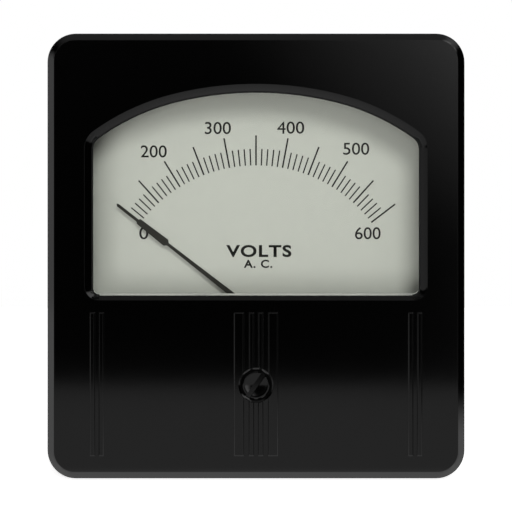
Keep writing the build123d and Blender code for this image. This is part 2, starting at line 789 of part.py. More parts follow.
# Pointer: thin blade with a spade, a fine tip and a counterbalanced tail
pointer_tip_r = window_top - pivot_z - pointer_headroom
spade_tip = pointer_tip_r - tip_length
spade_root = spade_tip - spade_length
half_outline = [
    (tail_half_width, -tail_length),
    (tail_half_width, -hub_flange_r),
    (hub_flange_r, -tail_half_width),
    (hub_flange_r, tail_half_width),
    (rod_root_half_width, hub_flange_r),
    (rod_end_half_width, spade_root),
    (spade_root_half_width, spade_root + spade_shoulder),
    (spade_tip_half_width, spade_tip - spade_shoulder),
    (tip_half_width, spade_tip),
    (tip_half_width, pointer_tip_r),
]
other_half = [(-x, y) for x, y in reversed(half_outline)]
with BuildPart() as pointer:
    with BuildSketch(swung(blade_back_y)):
        with BuildLine():
            Polyline(*half_outline, *other_half, close=True)
        make_face()
        Circle(hub_boss_r, mode=Mode.SUBTRACT)
    extrude(amount=blade_thickness)
pointer.part.label = "pointer"
export_step(pointer.part, "parts/pointer.step")

with BuildPart() as pointer_hub:
    bush = [(staff_r, collet_back_y), (hub_boss_r, collet_back_y), (hub_boss_r, blade_back_y)]
    bush += [(hub_flange_r, blade_back_y), (hub_flange_r, blade_back_y + hub_flange_length)]
    add(turned(bush + [(staff_r, blade_back_y + hub_flange_length)], 0, pivot_z))
pointer_hub.part.label = "pointer_hub"
export_step(pointer_hub.part, "parts/pointer_hub.step")

with BuildPart() as balance_weight:
    with BuildSketch(swung(blade_back_y + balance_thickness)):
        with Locations((0, -balance_reach)):
            Circle(balance_r)
    extrude(amount=balance_thickness)
balance_weight.part.label = "balance_weight"
export_step(balance_weight.part, "parts/balance_weight.step")

# Dial plate: sheet behind the pointer, notched for the staff, with its screws and the frame plate
with BuildPart() as dial_plate:
    with BuildSketch(facing(dial_back_y)) as dial_shape:
        add(window_outline(dial_border, dial_border))
        with Locations((0, (dial_bottom + window_sill) / 2)):
            Rectangle(window_width + 2 * dial_border, window_sill - dial_bottom)
        with Locations((0, window_sill)):
            Rectangle(window_width + 2 * dial_border, 2 * dial_border + 2 * sill_corner_r)
        fillet(dial_shape.vertices().group_by(Axis.Y)[0], dial_corner_r)
        with Locations((0, pivot_z)):
            Circle(dial_notch_r, mode=Mode.SUBTRACT)
        with Locations((0, pivot_z - dial_below_pivot)):
            Rectangle(2 * dial_notch_r, 2 * dial_below_pivot, mode=Mode.SUBTRACT)
        with Locations(*dial_post_places):
            Circle(small_screw_r + snug, mode=Mode.SUBTRACT)
    extrude(amount=dial_thickness)
dial_plate.part.label = "dial_plate"
export_step(dial_plate.part, "parts/dial_plate.step")

dial_screw_tip = dial_back_y + small_screw_length
with BuildPart() as dial_screws:
    for post_x, post_z in dial_post_places:
        head_top = dial_front_y - small_head_height
        tip = dial_screw_tip - snug
        add(screw(post_x, post_z, head_top, small_head_height, small_head_r, small_screw_r, tip))
dial_screws.part.label = "dial_screws"
export_step(dial_screws.part, "parts/dial_screws.step")

spigot_r = core_bore_r + spigot_wall
with BuildPart() as movement_frame:
    with BuildSketch(facing(plate_back_y)):
        with Locations(*frame_post_places, *dial_post_places):
            Circle(plate_lug_r)
        make_hull()
        with Locations((0, pivot_z)):
            Circle(spigot_r, mode=Mode.SUBTRACT)
        with Locations(*bridge_leg_places):
            Circle(bridge_pillar_spigot_r, mode=Mode.SUBTRACT)
        with Locations(*frame_post_places, *rear_pillar_places):
            Circle(small_screw_r + snug, mode=Mode.SUBTRACT)
    extrude(amount=plate_thickness)
    with BuildSketch(facing(plate_front_y)):
        with Locations(*dial_post_places):
            Circle(dial_post_r)
    extrude(amount=plate_front_y - dial_back_y)
    with BuildSketch(facing(dial_screw_tip)):
        with Locations(*dial_post_places):
            Circle(small_screw_r)
    extrude(amount=small_screw_length, mode=Mode.SUBTRACT)
movement_frame.part.label = "movement_frame"
export_step(movement_frame.part, "parts/movement_frame.step")

frame_screw_tip = plate_back_y + small_screw_length
with BuildPart() as frame_posts:
    for post_x, post_z in frame_post_places:
        spigot_end = back_inside_y + frame_post_bite
        post = [(0, frame_screw_tip + snug), (small_screw_r + snug, frame_screw_tip + snug)]
        post += [(small_screw_r + snug, plate_back_y), (frame_post_r, plate_back_y)]
        post += [(frame_post_r, back_inside_y), (frame_post_spigot_r, back_inside_y)]
        post += [(frame_post_spigot_r, spigot_end), (0, spigot_end)]
        add(turned(post, post_x, post_z))
frame_posts.part.label = "frame_posts"
export_step(frame_posts.part, "parts/frame_posts.step")

with BuildPart() as frame_screws:
    for post_x, post_z in frame_post_places:
        head_top = plate_front_y - small_head_height
        tip = frame_screw_tip
        add(screw(post_x, post_z, head_top, small_head_height, small_head_r, small_screw_r, tip))
frame_screws.part.label = "frame_screws"
export_step(frame_screws.part, "parts/frame_screws.step")

# Coil: bobbin spigoted into the frame plate, its winding and the fixed iron lining its bore
core_r = core_bore_r + core_wall
cheek_front_y = plate_back_y + cheek_thickness
cheek_back_y = coil_back_y - cheek_thickness
with BuildPart() as coil_bobbin:
    spool = [(core_bore_r, plate_front_y), (spigot_r, plate_front_y), (spigot_r, plate_back_y)]
    spool += [(cheek_r, plate_back_y), (cheek_r, cheek_front_y), (core_r, cheek_front_y)]
    spool += [(core_r, cheek_back_y), (cheek_r, cheek_back_y), (cheek_r, coil_back_y)]
    add(turned(spool + [(core_bore_r, coil_back_y)], 0, pivot_z))
coil_bobbin.part.label = "coil_bobbin"
export_step(coil_bobbin.part, "parts/coil_bobbin.step")

with BuildPart() as coil_winding:
    add(tube(core_r, winding_r, cheek_front_y, cheek_back_y, 0, pivot_z))
coil_winding.part.label = "coil_winding"
export_step(coil_winding.part, "parts/coil_winding.step")

with BuildPart() as fixed_iron:
    with BuildSketch(swung(coil_back_y - iron_end_gap)):
        add(sector(core_bore_r - iron_thickness, core_bore_r, 90, fixed_iron_angle))
    extrude(amount=coil_length - 2 * iron_end_gap)
fixed_iron.part.label = "fixed_iron"
export_step(fixed_iron.part, "parts/fixed_iron.step")

moving_iron_length = coil_length - 2 * moving_iron_end_gap
with BuildPart() as moving_iron:
    with BuildSketch(swung(coil_back_y - moving_iron_end_gap)):
        add(sector(moving_iron_r, moving_iron_r + moving_iron_thickness, 90, moving_iron_angle))
        with Locations((0, moving_iron_r / 2)):
            Rectangle(iron_web, moving_iron_r + moving_iron_thickness)
        Circle(iron_hub_r)
        Circle(staff_r, mode=Mode.SUBTRACT)
    extrude(amount=moving_iron_length)
moving_iron.part.label = "moving_iron"
export_step(moving_iron.part, "parts/moving_iron.step")

# Air damping: a vane on the staff swings in a closed sector chamber behind the coil
chamber_span = 2 * (scale_half_angle + overswing_angle + chamber_margin_angle)
end_wall = degrees(chamber_wall / chamber_r)
chamber_floor_y = coil_back_y + chamber_wall
with BuildPart() as damping_chamber:
    with BuildSketch(about_staff(chamber_back_y)):
        add(sector(chamber_mouth_r, chamber_outer_r, -90, chamber_span + 2 * end_wall))
    extrude(amount=chamber_back_y - coil_back_y)
    with BuildSketch(about_staff(chamber_back_y)):
        add(sector(chamber_mouth_r / 2, chamber_r, -90, chamber_span))
    extrude(amount=chamber_back_y - chamber_floor_y, mode=Mode.SUBTRACT)
damping_chamber.part.label = "damping_chamber"
export_step(damping_chamber.part, "parts/damping_chamber.step")

with BuildPart() as damping_lid:
    with BuildSketch(about_staff(lid_back_y)):
        add(sector(chamber_mouth_r, chamber_outer_r, -90, chamber_span + 2 * end_wall))
    extrude(amount=chamber_wall)
damping_lid.part.label = "damping_lid"
export_step(damping_lid.part, "parts/damping_lid.step")

vane_reach = chamber_r - vane_tip_gap
with BuildPart() as damping_vane:
    with BuildSketch(swung(chamber_back_y - vane_side_gap)):
        Circle(vane_hub_r)
        with Locations((0, -vane_reach / 2)):
            Rectangle(vane_thickness, vane_reach)
        Circle(staff_r, mode=Mode.SUBTRACT)
    extrude(amount=chamber_back_y - chamber_floor_y - 2 * vane_side_gap)
damping_vane.part.label = "damping_vane"
export_step(damping_vane.part, "parts/damping_vane.step")

# Rear bridge on two pillars, carrying the rear jewel
with BuildPart() as rear_bridge:
    with BuildSketch(facing(rear_bridge_back_y)):
        with Locations((0, pivot_z)):
            SlotCenterToCenter(2 * rear_pillar_x, rear_bridge_width)
            Circle(jewel_screw_r, mode=Mode.SUBTRACT)
        with Locations(*rear_pillar_places):
            Circle(small_screw_r + snug, mode=Mode.SUBTRACT)
    extrude(amount=rear_bridge_thickness)
rear_bridge.part.label = "rear_bridge"
export_step(rear_bridge.part, "parts/rear_bridge.step")

rear_screw_tip = rear_bridge_front_y - small_screw_length
with BuildPart() as rear_pillars:
    for post_x, post_z in rear_pillar_places:
        post = [(0, plate_front_y), (small_screw_r, plate_front_y), (small_screw_r, plate_back_y)]
        post += [(rear_pillar_r, plate_back_y), (rear_pillar_r, rear_bridge_front_y)]
        post += [(small_screw_r, rear_bridge_front_y), (small_screw_r, rear_screw_tip), (0, rear_screw_tip)]
        add(turned(post, post_x, post_z))
rear_pillars.part.label = "rear_pillars"
export_step(rear_pillars.part, "parts/rear_pillars.step")

with BuildPart() as rear_bridge_screws:
    for post_x, post_z in rear_pillar_places:
        head_top = rear_bridge_back_y + small_head_height
        shape = [(0, head_top), (small_head_r, head_top), (small_head_r, rear_bridge_back_y)]
        shape += [(small_screw_r, rear_bridge_back_y), (small_screw_r, rear_screw_tip + snug)]
        add(turned(shape + [(0, rear_screw_tip + snug)], post_x, post_z))
rear_bridge_screws.part.label = "rear_bridge_screws"
export_step(rear_bridge_screws.part, "parts/rear_bridge_screws.step")

# Base: round barrel through the panel, closed at the back, with terminal pads
flange_width = inner_width - 2 * fit_gap
flange_height = inner_height - 2 * fit_gap
with BuildPart() as base:
    with BuildSketch(facing(base_depth)):
        Circle(barrel_r)
    extrude(amount=base_depth)
    fillet(base.faces().sort_by(Axis.Y)[-1].edges(), back_edge_r)
    with BuildSketch(facing(back_inside_y)):
        Circle(bore_r)
    extrude(amount=back_inside_y, mode=Mode.SUBTRACT)
    with BuildSketch(facing(back_inside_y + frame_post_bite + snug)):
        with Locations(*frame_post_places):
            Circle(frame_post_spigot_r + snug)
    extrude(amount=frame_post_bite + snug, mode=Mode.SUBTRACT)
    with BuildSketch(facing(pad_back_y)):
        with Locations(*terminal_places):
            Circle(pad_r)
    extrude(amount=pad_height)
    with BuildSketch(facing(pad_back_y)):
        with Locations(*terminal_places):
            Circle(terminal_r + snug)
    extrude(amount=pad_height + back_thickness, mode=Mode.SUBTRACT)
    with BuildSketch(facing(back_inside_y + spool_screw_bite + snug)):
        with Locations((0, spool_z)):
            Circle(spool_screw_r + snug)
    extrude(amount=spool_screw_bite + snug, mode=Mode.SUBTRACT)
base.part.label = "base"
export_step(base.part, "parts/base.step")

# Base flange: plate inside the cover's rim that lies on the panel, with a shallow seat for the barrel
with BuildPart() as base_flange:
    with BuildSketch(facing(0)):
        RectangleRounded(flange_width, flange_height, case_corner_r - wall - fit_gap)
        Circle(bore_r, mode=Mode.SUBTRACT)
    extrude(amount=flange_thickness)
    with BuildSketch(facing(0)):
        Circle(barrel_r + barrel_seat_gap)
    extrude(amount=snug, mode=Mode.SUBTRACT)
    with BuildSketch(facing(0)):
        with Locations(*stud_places):
            Circle(stud_collar_r + snug)
        with Locations(*case_screw_places):
            Circle(case_screw_r + case_screw_clear)
    extrude(amount=flange_thickness, mode=Mode.SUBTRACT)
    with BuildSketch(facing(0)):
        with Locations(*case_screw_places):
            Circle(case_screw_head_r + case_screw_clear)
    extrude(amount=case_screw_sink, mode=Mode.SUBTRACT)
base_flange.part.label = "base_flange"
export_step(base_flange.part, "parts/base_flange.step")

with BuildPart() as case_screws:
    for screw_x, screw_z in case_screw_places:
        head_top = case_screw_head_height - case_screw_sink
        tip = flange_front_y - case_screw_bite
        shape = [(0, head_top), (case_screw_head_r, head_top), (case_screw_head_r, -case_screw_sink)]
        shape += [(case_screw_r, -case_screw_sink), (case_screw_r, tip), (0, tip)]
        add(turned(shape, screw_x, screw_z))
case_screws.part.label = "case_screws"
export_step(case_screws.part, "parts/case_screws.step")

with BuildPart() as mounting_studs:
    for place_x, place_z in stud_places:
        head_top = flange_front_y - stud_head_height
        shape = [(0, head_top), (stud_head_r, head_top), (stud_head_r, flange_front_y)]
        shape += [(stud_collar_r, flange_front_y), (stud_collar_r, -snug), (stud_neck_r, -snug)]
        shape += [(stud_neck_r, stud_neck_length), (stud_r, stud_neck_length)]
        add(turned(shape + [(stud_r, stud_length), (0, stud_length)], place_x, place_z))
mounting_studs.part.label = "mounting_studs"
export_step(mounting_studs.part, "parts/mounting_studs.step")

# Terminals: headed studs through the back, with tags inside and washers and nuts outside
tag_front_y = back_inside_y - tag_thickness
first_washer_back_y = pad_back_y + terminal_washer_thickness
first_nut_back_y = first_washer_back_y + terminal_nut_height
second_washer_back_y = first_nut_back_y + terminal_washer_thickness
second_nut_back_y = second_washer_back_y + terminal_nut_height
terminal_end_y = second_nut_back_y + terminal_tail
with BuildPart() as terminal_studs:
    for place_x, place_z in terminal_places:
        head_top = tag_front_y - terminal_head_height
        shape = [(0, head_top), (terminal_head_r, head_top), (terminal_head_r, tag_front_y)]
        shape += [(terminal_r, tag_front_y), (terminal_r, second_nut_back_y)]
        shape += [(terminal_tail_r, second_nut_back_y + terminal_r - terminal_tail_r)]
        add(turned(shape + [(terminal_tail_r, terminal_end_y), (0, terminal_end_y)], place_x, place_z))
terminal_studs.part.label = "terminal_studs"
export_step(terminal_studs.part, "parts/terminal_studs.step")

tag_end_x = terminal_spacing / 2 - tag_tail_length
tag_tail_x = tag_end_x + tag_tail_length / 2
with BuildPart() as terminal_tags:
    with BuildSketch(facing(back_inside_y)):
        with Locations(*terminal_places):
            Circle(tag_r)
        with Locations((-tag_tail_x, terminal_rise), (tag_tail_x, terminal_rise)):
            Rectangle(tag_tail_length, tag_tail_width)
        with Locations(*terminal_places):
            Circle(terminal_r, mode=Mode.SUBTRACT)
    extrude(amount=tag_thickness)
terminal_tags.part.label = "terminal_tags"
export_step(terminal_tags.part, "parts/terminal_tags.step")

with BuildPart() as terminal_washers:
    for place_x, place_z in terminal_places:
        add(tube(terminal_r, terminal_washer_r, pad_back_y, first_washer_back_y, place_x, place_z))
        add(tube(terminal_r, terminal_washer_r, first_nut_back_y, second_washer_back_y, place_x, place_z))
terminal_washers.part.label = "terminal_washers"
export_step(terminal_washers.part, "parts/terminal_washers.step")

with BuildPart() as terminal_nuts:
    for nut_back_y in (first_nut_back_y, second_nut_back_y):
        with BuildSketch(facing(nut_back_y)):
            with Locations(*terminal_places):
                RegularPolygon(terminal_nut_r, 6)
                Circle(terminal_r, mode=Mode.SUBTRACT)
        extrude(amount=terminal_nut_height)
terminal_nuts.part.label = "terminal_nuts"
export_step(terminal_nuts.part, "parts/terminal_nuts.step")

# Series resistor: sectioned spool wound with fine wire, held to the back by one screw
section_fronts = [
    spool_front_y + spool_flange + i * (spool_section_length + spool_flange) for i in range(spool_sections)
]
with BuildPart() as resistor_spool:
    form = [(spool_screw_r, spool_front_y), (spool_r, spool_front_y)]
    for section_front in section_fronts:
        form += [(spool_r, section_front), (spool_core_r, section_front)]
        form += [(spool_core_r, section_front + spool_section_length)]
        form += [(spool_r, section_front + spool_section_length)]
    form += [(spool_r, back_inside_y), (spool_screw_r, back_inside_y)]
    add(turned(form, 0, spool_z))
resistor_spool.part.label = "resistor_spool"
export_step(resistor_spool.part, "parts/resistor_spool.step")

with BuildPart() as resistor_winding:
    for section_front in section_fronts:
        section_back = section_front + spool_section_length
        add(tube(spool_core_r, spool_winding_r, section_front, section_back, 0, spool_z))
resistor_winding.part.label = "resistor_winding"
export_step(resistor_winding.part, "parts/resistor_winding.step")

with BuildPart() as resistor_screw:
    head_top = spool_front_y - spool_screw_head_height
    tip = back_inside_y + spool_screw_bite
    add(screw(0, spool_z, head_top, spool_screw_head_height, spool_screw_head_r, spool_screw_r, tip))
resistor_screw.part.label = "resistor_screw"
export_step(resistor_screw.part, "parts/resistor_screw.step")

# Leads: tag to resistor, resistor to coil, and coil to the other tag
lead_x = tag_end_x + tag_tail_width / 2
rear_flange_y = section_fronts[-1] - spool_flange / 2
front_flange_y = spool_front_y + spool_flange / 2
cheek_middle_y = (cheek_back_y + coil_back_y) / 2
lead_turn = radians(lead_angle)
rim_x = cheek_r * sin(lead_turn)
rim_z = pivot_z + cheek_r * cos(lead_turn)
supply_course = [
    (-lead_x, tag_front_y, terminal_rise),
    (-lead_x, tag_front_y - lead_ease, terminal_rise),
    (-spool_r - lead_ease, rear_flange_y, spool_z),
    (-spool_r, rear_flange_y, spool_z),
]
series_course = [
    (0, front_flange_y, spool_z - spool_r),
    (0, front_flange_y, spool_z - spool_r - lead_ease),
    (-rim_x - lead_ease * sin(lead_turn), cheek_middle_y, rim_z + lead_ease * cos(lead_turn)),
    (-rim_x, cheek_middle_y, rim_z),
]
return_course = [
    (rim_x, cheek_middle_y, rim_z),
    (rim_x + lead_ease * sin(lead_turn), cheek_middle_y, rim_z + lead_ease * cos(lead_turn)),
    (lead_x, tag_front_y - lead_ease, terminal_rise),
    (lead_x, tag_front_y, terminal_rise),
]


def lead(course):
    """Insulated wire laid along straight runs with rounded bends, through the course's points."""
    with BuildPart() as wire:
        with BuildLine() as path:
            FilletPolyline(*course, radius=lead_bend)
        with BuildSketch(Plane(origin=path.line @ 0, z_dir=path.line % 0)):
            Circle(lead_r)
        sweep()
    return wire.part


with BuildPart() as supply_lead:
    add(lead(supply_course))
supply_lead.part.label = "supply_lead"
export_step(supply_lead.part, "parts/supply_lead.step")

with BuildPart() as series_lead:
    add(lead(series_course))
series_lead.part.label = "series_lead"
export_step(series_lead.part, "parts/series_lead.step")

with BuildPart() as return_lead:
    add(lead(return_course))
return_lead.part.label = "return_lead"
export_step(return_lead.part, "parts/return_lead.step")
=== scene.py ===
"""Dressed model of a flush-mounting analog panel meter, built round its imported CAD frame.

Size fields are millimetres, and angle fields are degrees. Meshes are made in metres, in the frame's
own axes: +X to the viewer's right, +Z up the face and +Y into the panel.
"""

import logging
import math
from collections.abc import Callable
from dataclasses import dataclass
from enum import Enum

import bmesh
import bpy
from mathutils import Matrix, Vector


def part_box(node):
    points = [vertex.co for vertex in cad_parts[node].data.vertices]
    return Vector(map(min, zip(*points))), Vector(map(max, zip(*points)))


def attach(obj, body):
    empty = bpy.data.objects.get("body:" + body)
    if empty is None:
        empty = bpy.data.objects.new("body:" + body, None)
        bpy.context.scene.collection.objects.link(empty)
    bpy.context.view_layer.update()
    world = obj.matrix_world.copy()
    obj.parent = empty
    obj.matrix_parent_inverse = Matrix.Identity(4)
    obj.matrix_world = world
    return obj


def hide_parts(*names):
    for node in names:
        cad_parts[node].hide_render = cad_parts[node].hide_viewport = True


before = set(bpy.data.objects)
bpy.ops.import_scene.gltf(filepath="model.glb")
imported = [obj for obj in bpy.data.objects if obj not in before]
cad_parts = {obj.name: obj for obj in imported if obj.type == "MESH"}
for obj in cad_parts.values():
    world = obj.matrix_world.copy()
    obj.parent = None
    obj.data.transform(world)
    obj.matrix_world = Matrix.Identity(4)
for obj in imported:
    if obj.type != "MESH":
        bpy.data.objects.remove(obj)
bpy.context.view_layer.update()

LOG = logging.getLogger("panel_meter")
MM = 0.001

# Corners of the CAD form are merged at the first distance, told by their place within the second,
# and told by their ring or row within the third, all in millimetres.
MERGE_MM = 0.002
SAME_MM = 0.01
NEAR_MM = 0.05
# Faces that meet flatter than the first angle become one. Edges past the second are rounded, and
# edges past the third are shaded as crisp.
FLAT_ANGLE = math.radians(0.4)
EDGE_ANGLE = math.radians(28)
CRISP_ANGLE = math.radians(30)
QUARTER_TURN = math.radians(90)
EDGE_STEPS = 2
CIRCLE_STEPS = 40
# The largest faces alone set the shading of a rounded piece, and areas this near count as equal.
LARGE_FACE_WEIGHT = 100
LARGE_FACE_MARGIN = 0.001
# Colour sockets of a Mix node, whose other sockets share their names.
MIX_LOW, MIX_HIGH, MIX_RESULT = 6, 7, 2
# Length of one wave of the wave texture at a scale of one.
WAVE_LENGTH = 0.314
WHITE = "#ffffff"

Tree = bpy.types.NodeTree
Node = bpy.types.Node
Socket = bpy.types.NodeSocket
Sockets = bpy.types.NodeOutputs
Piece = bpy.types.Object
Form = bmesh.types.BMesh
Pairs = tuple[tuple[float, float], ...]
Values = dict[str | int, object]
Links = dict[str | int, Socket]


def linear(colour: str) -> tuple[float, float, float, float]:
    """Turns an sRGB hex colour such as #c8ccbe into linear RGBA by the sRGB curve.

    Args:
        colour: Hash mark and six hex digits.

    Returns:
        Red, green, blue and an alpha of one.
    """
    shares = [int(colour[i : i + 2], 16) / 255 for i in (1, 3, 5)]
    red, green, blue = [s / 12.92 if s <= 0.04045 else ((s + 0.055) / 1.055) ** 2.4 for s in shares]
    return red, green, blue, 1.0


def wire(tree: Tree, node: Node, settings: Values | None = None, links: Links | None = None) -> None:
    """Sets a node's properties and inputs, and links its inputs.

    Args:
        tree: Node tree that holds the node.
        node: Node that is set.
        settings: Values by property name, or by input name or number.
        links: Output sockets by the input name or number that they feed.
    """
    for key, value in (settings or {}).items():
        if isinstance(key, str) and hasattr(node, key):
            setattr(node, key, value)
        else:
            node.inputs[key].default_value = value
    for key, socket in (links or {}).items():
        tree.links.new(socket, node.inputs[key])


def add_node(tree: Tree, kind: str, settings: Values | None = None, links: Links | None = None) -> Node:
    """Adds a node with its settings and links.

    Args:
        tree: Node tree that gets the node.
        kind: Node type, such as ShaderNodeTexNoise.
        settings: Values by property name, or by input name or number.
        links: Output sockets by the input name or number that they feed.

    Returns:
        The new node.
    """
    node = tree.nodes.new(kind)
    wire(tree, node, settings, links)
    return node


def by_ray(tree: Tree, ray: str, usual: Socket, other: Socket) -> Socket:
    """Shows one shader to one kind of ray and another to all the rest.

    Args:
        tree: Node tree of both shaders.
        ray: Kind of ray, as the Light Path node names it.
        usual: Shader for the rest.
        other: Shader for that kind of ray.

    Returns:
        The mixed shader.
    """
    path = add_node(tree, "ShaderNodeLightPath")
    links = {0: path.outputs[ray], 1: usual, 2: other}
    return add_node(tree, "ShaderNodeMixShader", None, links).outputs[0]


def patterned(
    tree: Tree, shader: Node, pattern: Socket, colours: tuple[str, str], relief_mm: float
) -> None:
    """Tints a shader and raises its relief by one pattern.

    Args:
        tree: Material's node tree.
        shader: Principled shader in it.
        pattern: Height of the pattern, from nought to one.
        colours: Hex colours of the pattern's lows and highs.
        relief_mm: Rise of the highs over the lows, or nought for a flat surface.
    """
    low, high = [linear(colour) for colour in colours]
    settings = {"data_type": "RGBA", MIX_LOW: low, MIX_HIGH: high}
    tint = add_node(tree, "ShaderNodeMix", settings, {0: pattern})
    wire(tree, shader, None, {"Base Color": tint.outputs[MIX_RESULT]})
    if relief_mm:
        bump = add_node(tree, "ShaderNodeBump", {"Distance": relief_mm * MM}, {"Height": pattern})
        wire(tree, shader, None, {"Normal": bump.outputs["Normal"]})


class Grain(Enum):
    """How a surface was made, as the stretch of its pattern along X, Y and Z.

    Moulding, spraying and plating all leave an even one.
    """

    EVEN = (1.0, 1.0, 1.0)
    ROLLED = (1.0, 1.0, 0.06)
    TURNED = (1.0, 0.12, 1.0)
    DRAWN = (1.0, 0.05, 1.0)


@dataclass(frozen=True)
class Surface:
    """A named surface, whose kinds each lay out a material of their own."""

    name: str

    def material(self) -> bpy.types.Material:
        """Builds the procedural material once, and gives the same one afterwards.

        Returns:
            The material.
        """
        made = bpy.data.materials.get(self.name)
        if made is None:
            made = bpy.data.materials.new(self.name)
            made.use_nodes = True
            self.lay_out(made.node_tree, made.node_tree.nodes["Principled BSDF"])
        return made

    def lay_out(self, tree: Tree, shader: Node) -> None:
        """Sets the shader and adds the nodes that feed it.

        Args:
            tree: Material's node tree.
            shader: Principled shader in it.
        """
        raise NotImplementedError


@dataclass(frozen=True)
class Finish(Surface):
    """A real material with the way its surface was made.

    The pattern is one noise on the piece's own coordinates. It tints the colour, moves the
    roughness and raises the relief together, as wear and process marks do.
    """

    colour: str
    shade: str
    roughness: float
    spread: float
    metallic: float = 0.0
    ior: float = 1.5
    grain: Grain = Grain.EVEN
    grain_mm: float = 1.0
    relief_mm: float = 0.0
    detail: float = 3.0
    breakup: float = 0.55

    def lay_out(self, tree: Tree, shader: Node) -> None:
        """Ties the colour, the roughness and the relief to one noise.

        Args:
            tree: Material's node tree.
            shader: Principled shader in it.
        """
        place = add_node(tree, "ShaderNodeTexCoord").outputs["Object"]
        mapped = add_node(tree, "ShaderNodeMapping", {"Scale": self.grain.value}, {"Vector": place})
        noise = add_node(
            tree,
            "ShaderNodeTexNoise",
            {"Scale": 1 / (self.grain_mm * MM), "Detail": self.detail, "Roughness": self.breakup},
            {"Vector": mapped.outputs["Vector"]},
        ).outputs[0]
        rough = add_node(
            tree,
            "ShaderNodeMapRange",
            {"To Min": self.roughness + self.spread, "To Max": self.roughness - self.spread},
            {"Value": noise},
        )
        settings = {"Metallic": self.metallic, "IOR": self.ior}
        wire(tree, shader, settings, {"Roughness": rough.outputs["Result"]})
        patterned(tree, shader, noise, (self.shade, self.colour), self.relief_mm)


@dataclass(frozen=True)
class WoundWire(Surface):
    """Layers of fine round wire on a spool, drawn as even ridges along the spool's axis."""

    colour: str
    shade: str
    wire_mm: float
    relief_share: float = 0.5
    unevenness: float = 0.4
    roughness: float = 0.35
    varnish: float = 0.4

    def lay_out(self, tree: Tree, shader: Node) -> None:
        """Ties the colour and the relief to one ridge for each turn of wire.

        Args:
            tree: Material's node tree.
            shader: Principled shader in it.
        """
        place = add_node(tree, "ShaderNodeTexCoord").outputs["Object"]
        settings = {
            "bands_direction": "Y",
            "Scale": WAVE_LENGTH / (self.wire_mm * MM),
            "Distortion": self.unevenness,
        }
        ridges = add_node(tree, "ShaderNodeTexWave", settings, {"Vector": place}).outputs[1]
        wire(tree, shader, {"Roughness": self.roughness, "Coat Weight": self.varnish})
        patterned(tree, shader, ridges, (self.shade, self.colour), self.relief_share * self.wire_mm)


@dataclass(frozen=True)
class ClearPane(Surface):
    """Polished clear pane: sharp reflections, a faint green body and light let through to the dial."""

    name: str = "clear_pane_polished"
    colour: str = "#fdfefd"
    ior: float = 1.49

    def lay_out(self, tree: Tree, shader: Node) -> None:
        """Makes a clear shader that casts no shadow of its own.

        Args:
            tree: Material's node tree.
            shader: Principled shader in it.
        """
        colour = linear(self.colour)
        settings = {"Base Color": colour, "Transmission Weight": 1.0, "Roughness": 0.0, "IOR": self.ior}
        wire(tree, shader, settings)
        open_air = add_node(tree, "ShaderNodeBsdfTransparent", {"Color": colour})
        mixed = by_ray(tree, "Is Shadow Ray", shader.outputs[0], open_air.outputs[0])
        wire(tree, tree.nodes["Material Output"], None, {"Surface": mixed})


@dataclass(frozen=True)
class GroundPane(Surface):
    """Pane edge left from the grinding wheel: white, frosted and half see-through."""

    name: str = "clear_pane_ground_arris"
    colour: str = "#fbfcf8"
    roughness: float = 0.6
    transmission: float = 0.65
    ior: float = 1.49

    def lay_out(self, tree: Tree, shader: Node) -> None:
        """Makes a frosted shader that lets part of the light through.

        Args:
            tree: Material's node tree.
            shader: Principled shader in it.
        """
        settings = {
            "Base Color": linear(self.colour),
            "Roughness": self.roughness,
            "Transmission Weight": self.transmission,
            "IOR": self.ior,
        }
        wire(tree, shader, settings)


@dataclass(frozen=True)
class LitPaper(Surface):
    """Studio paper: white to the eye, and in reflections brightest in a band under the case.

    The glow changes along Y over the band, and along X over the fade.
    """

    name: str = "paper_white_lit"
    colour: str = "#e8e8e6"
    roughness: float = 0.9
    seen_glow: float = 0.8
    band: tuple[float, float] = (-40.0, -26.0)
    band_glow: tuple[float, float] = (0.4, 0.85)
    fade: tuple[float, float] = (110.0, 220.0)
    fade_glow: tuple[float, float] = (1.0, 0.0)

    def lay_out(self, tree: Tree, shader: Node) -> None:
        """Makes a plain white for the camera and a shaded glow for everything else.

        Args:
            tree: Material's node tree.
            shader: Principled shader in it.
        """
        settings = {
            "Base Color": linear(self.colour),
            "Roughness": self.roughness,
            "Emission Color": linear(WHITE),
            "Emission Strength": self.seen_glow,
        }
        wire(tree, shader, settings)
        place = add_node(tree, "ShaderNodeTexCoord").outputs["Object"]
        axes = add_node(tree, "ShaderNodeSeparateXYZ", None, {0: place}).outputs
        strength = add_node(tree, "ShaderNodeMath", {"operation": "MULTIPLY"})
        ramps = (("Y", self.band, self.band_glow), ("X", self.fade, self.fade_glow))
        for number, (axis, (start, end), (first, last)) in enumerate(ramps):
            settings = {
                "interpolation_type": "SMOOTHSTEP",
                "From Min": start * MM,
                "From Max": end * MM,
                "To Min": first,
                "To Max": last,
            }
            ramp = add_node(tree, "ShaderNodeMapRange", settings, {"Value": axes[axis]})
            wire(tree, strength, None, {number: ramp.outputs["Result"]})
        glow = add_node(tree, "ShaderNodeEmission", None, {"Strength": strength.outputs[0]})
        mixed = by_ray(tree, "Is Camera Ray", glow.outputs[0], shader.outputs[0])
        wire(tree, tree.nodes["Material Output"], None, {"Surface": mixed})


# Phenolic moulded in a polished tool: deep black, mirror-like with a faint long waviness.
GLOSS_PHENOLIC = Finish(
    "phenolic_black_moulded_gloss",
    "#020202", "#010101", 0.11, 0.015, ior=1.52, grain_mm=9.0, relief_mm=0.004,
)
# The same phenolic from a plain tool: satin, with a fine even texture.
SATIN_PHENOLIC = Finish(
    "phenolic_black_moulded_satin",
    "#141312", "#0c0b0b", 0.42, 0.08, ior=1.55, grain_mm=0.6, relief_mm=0.02,
)
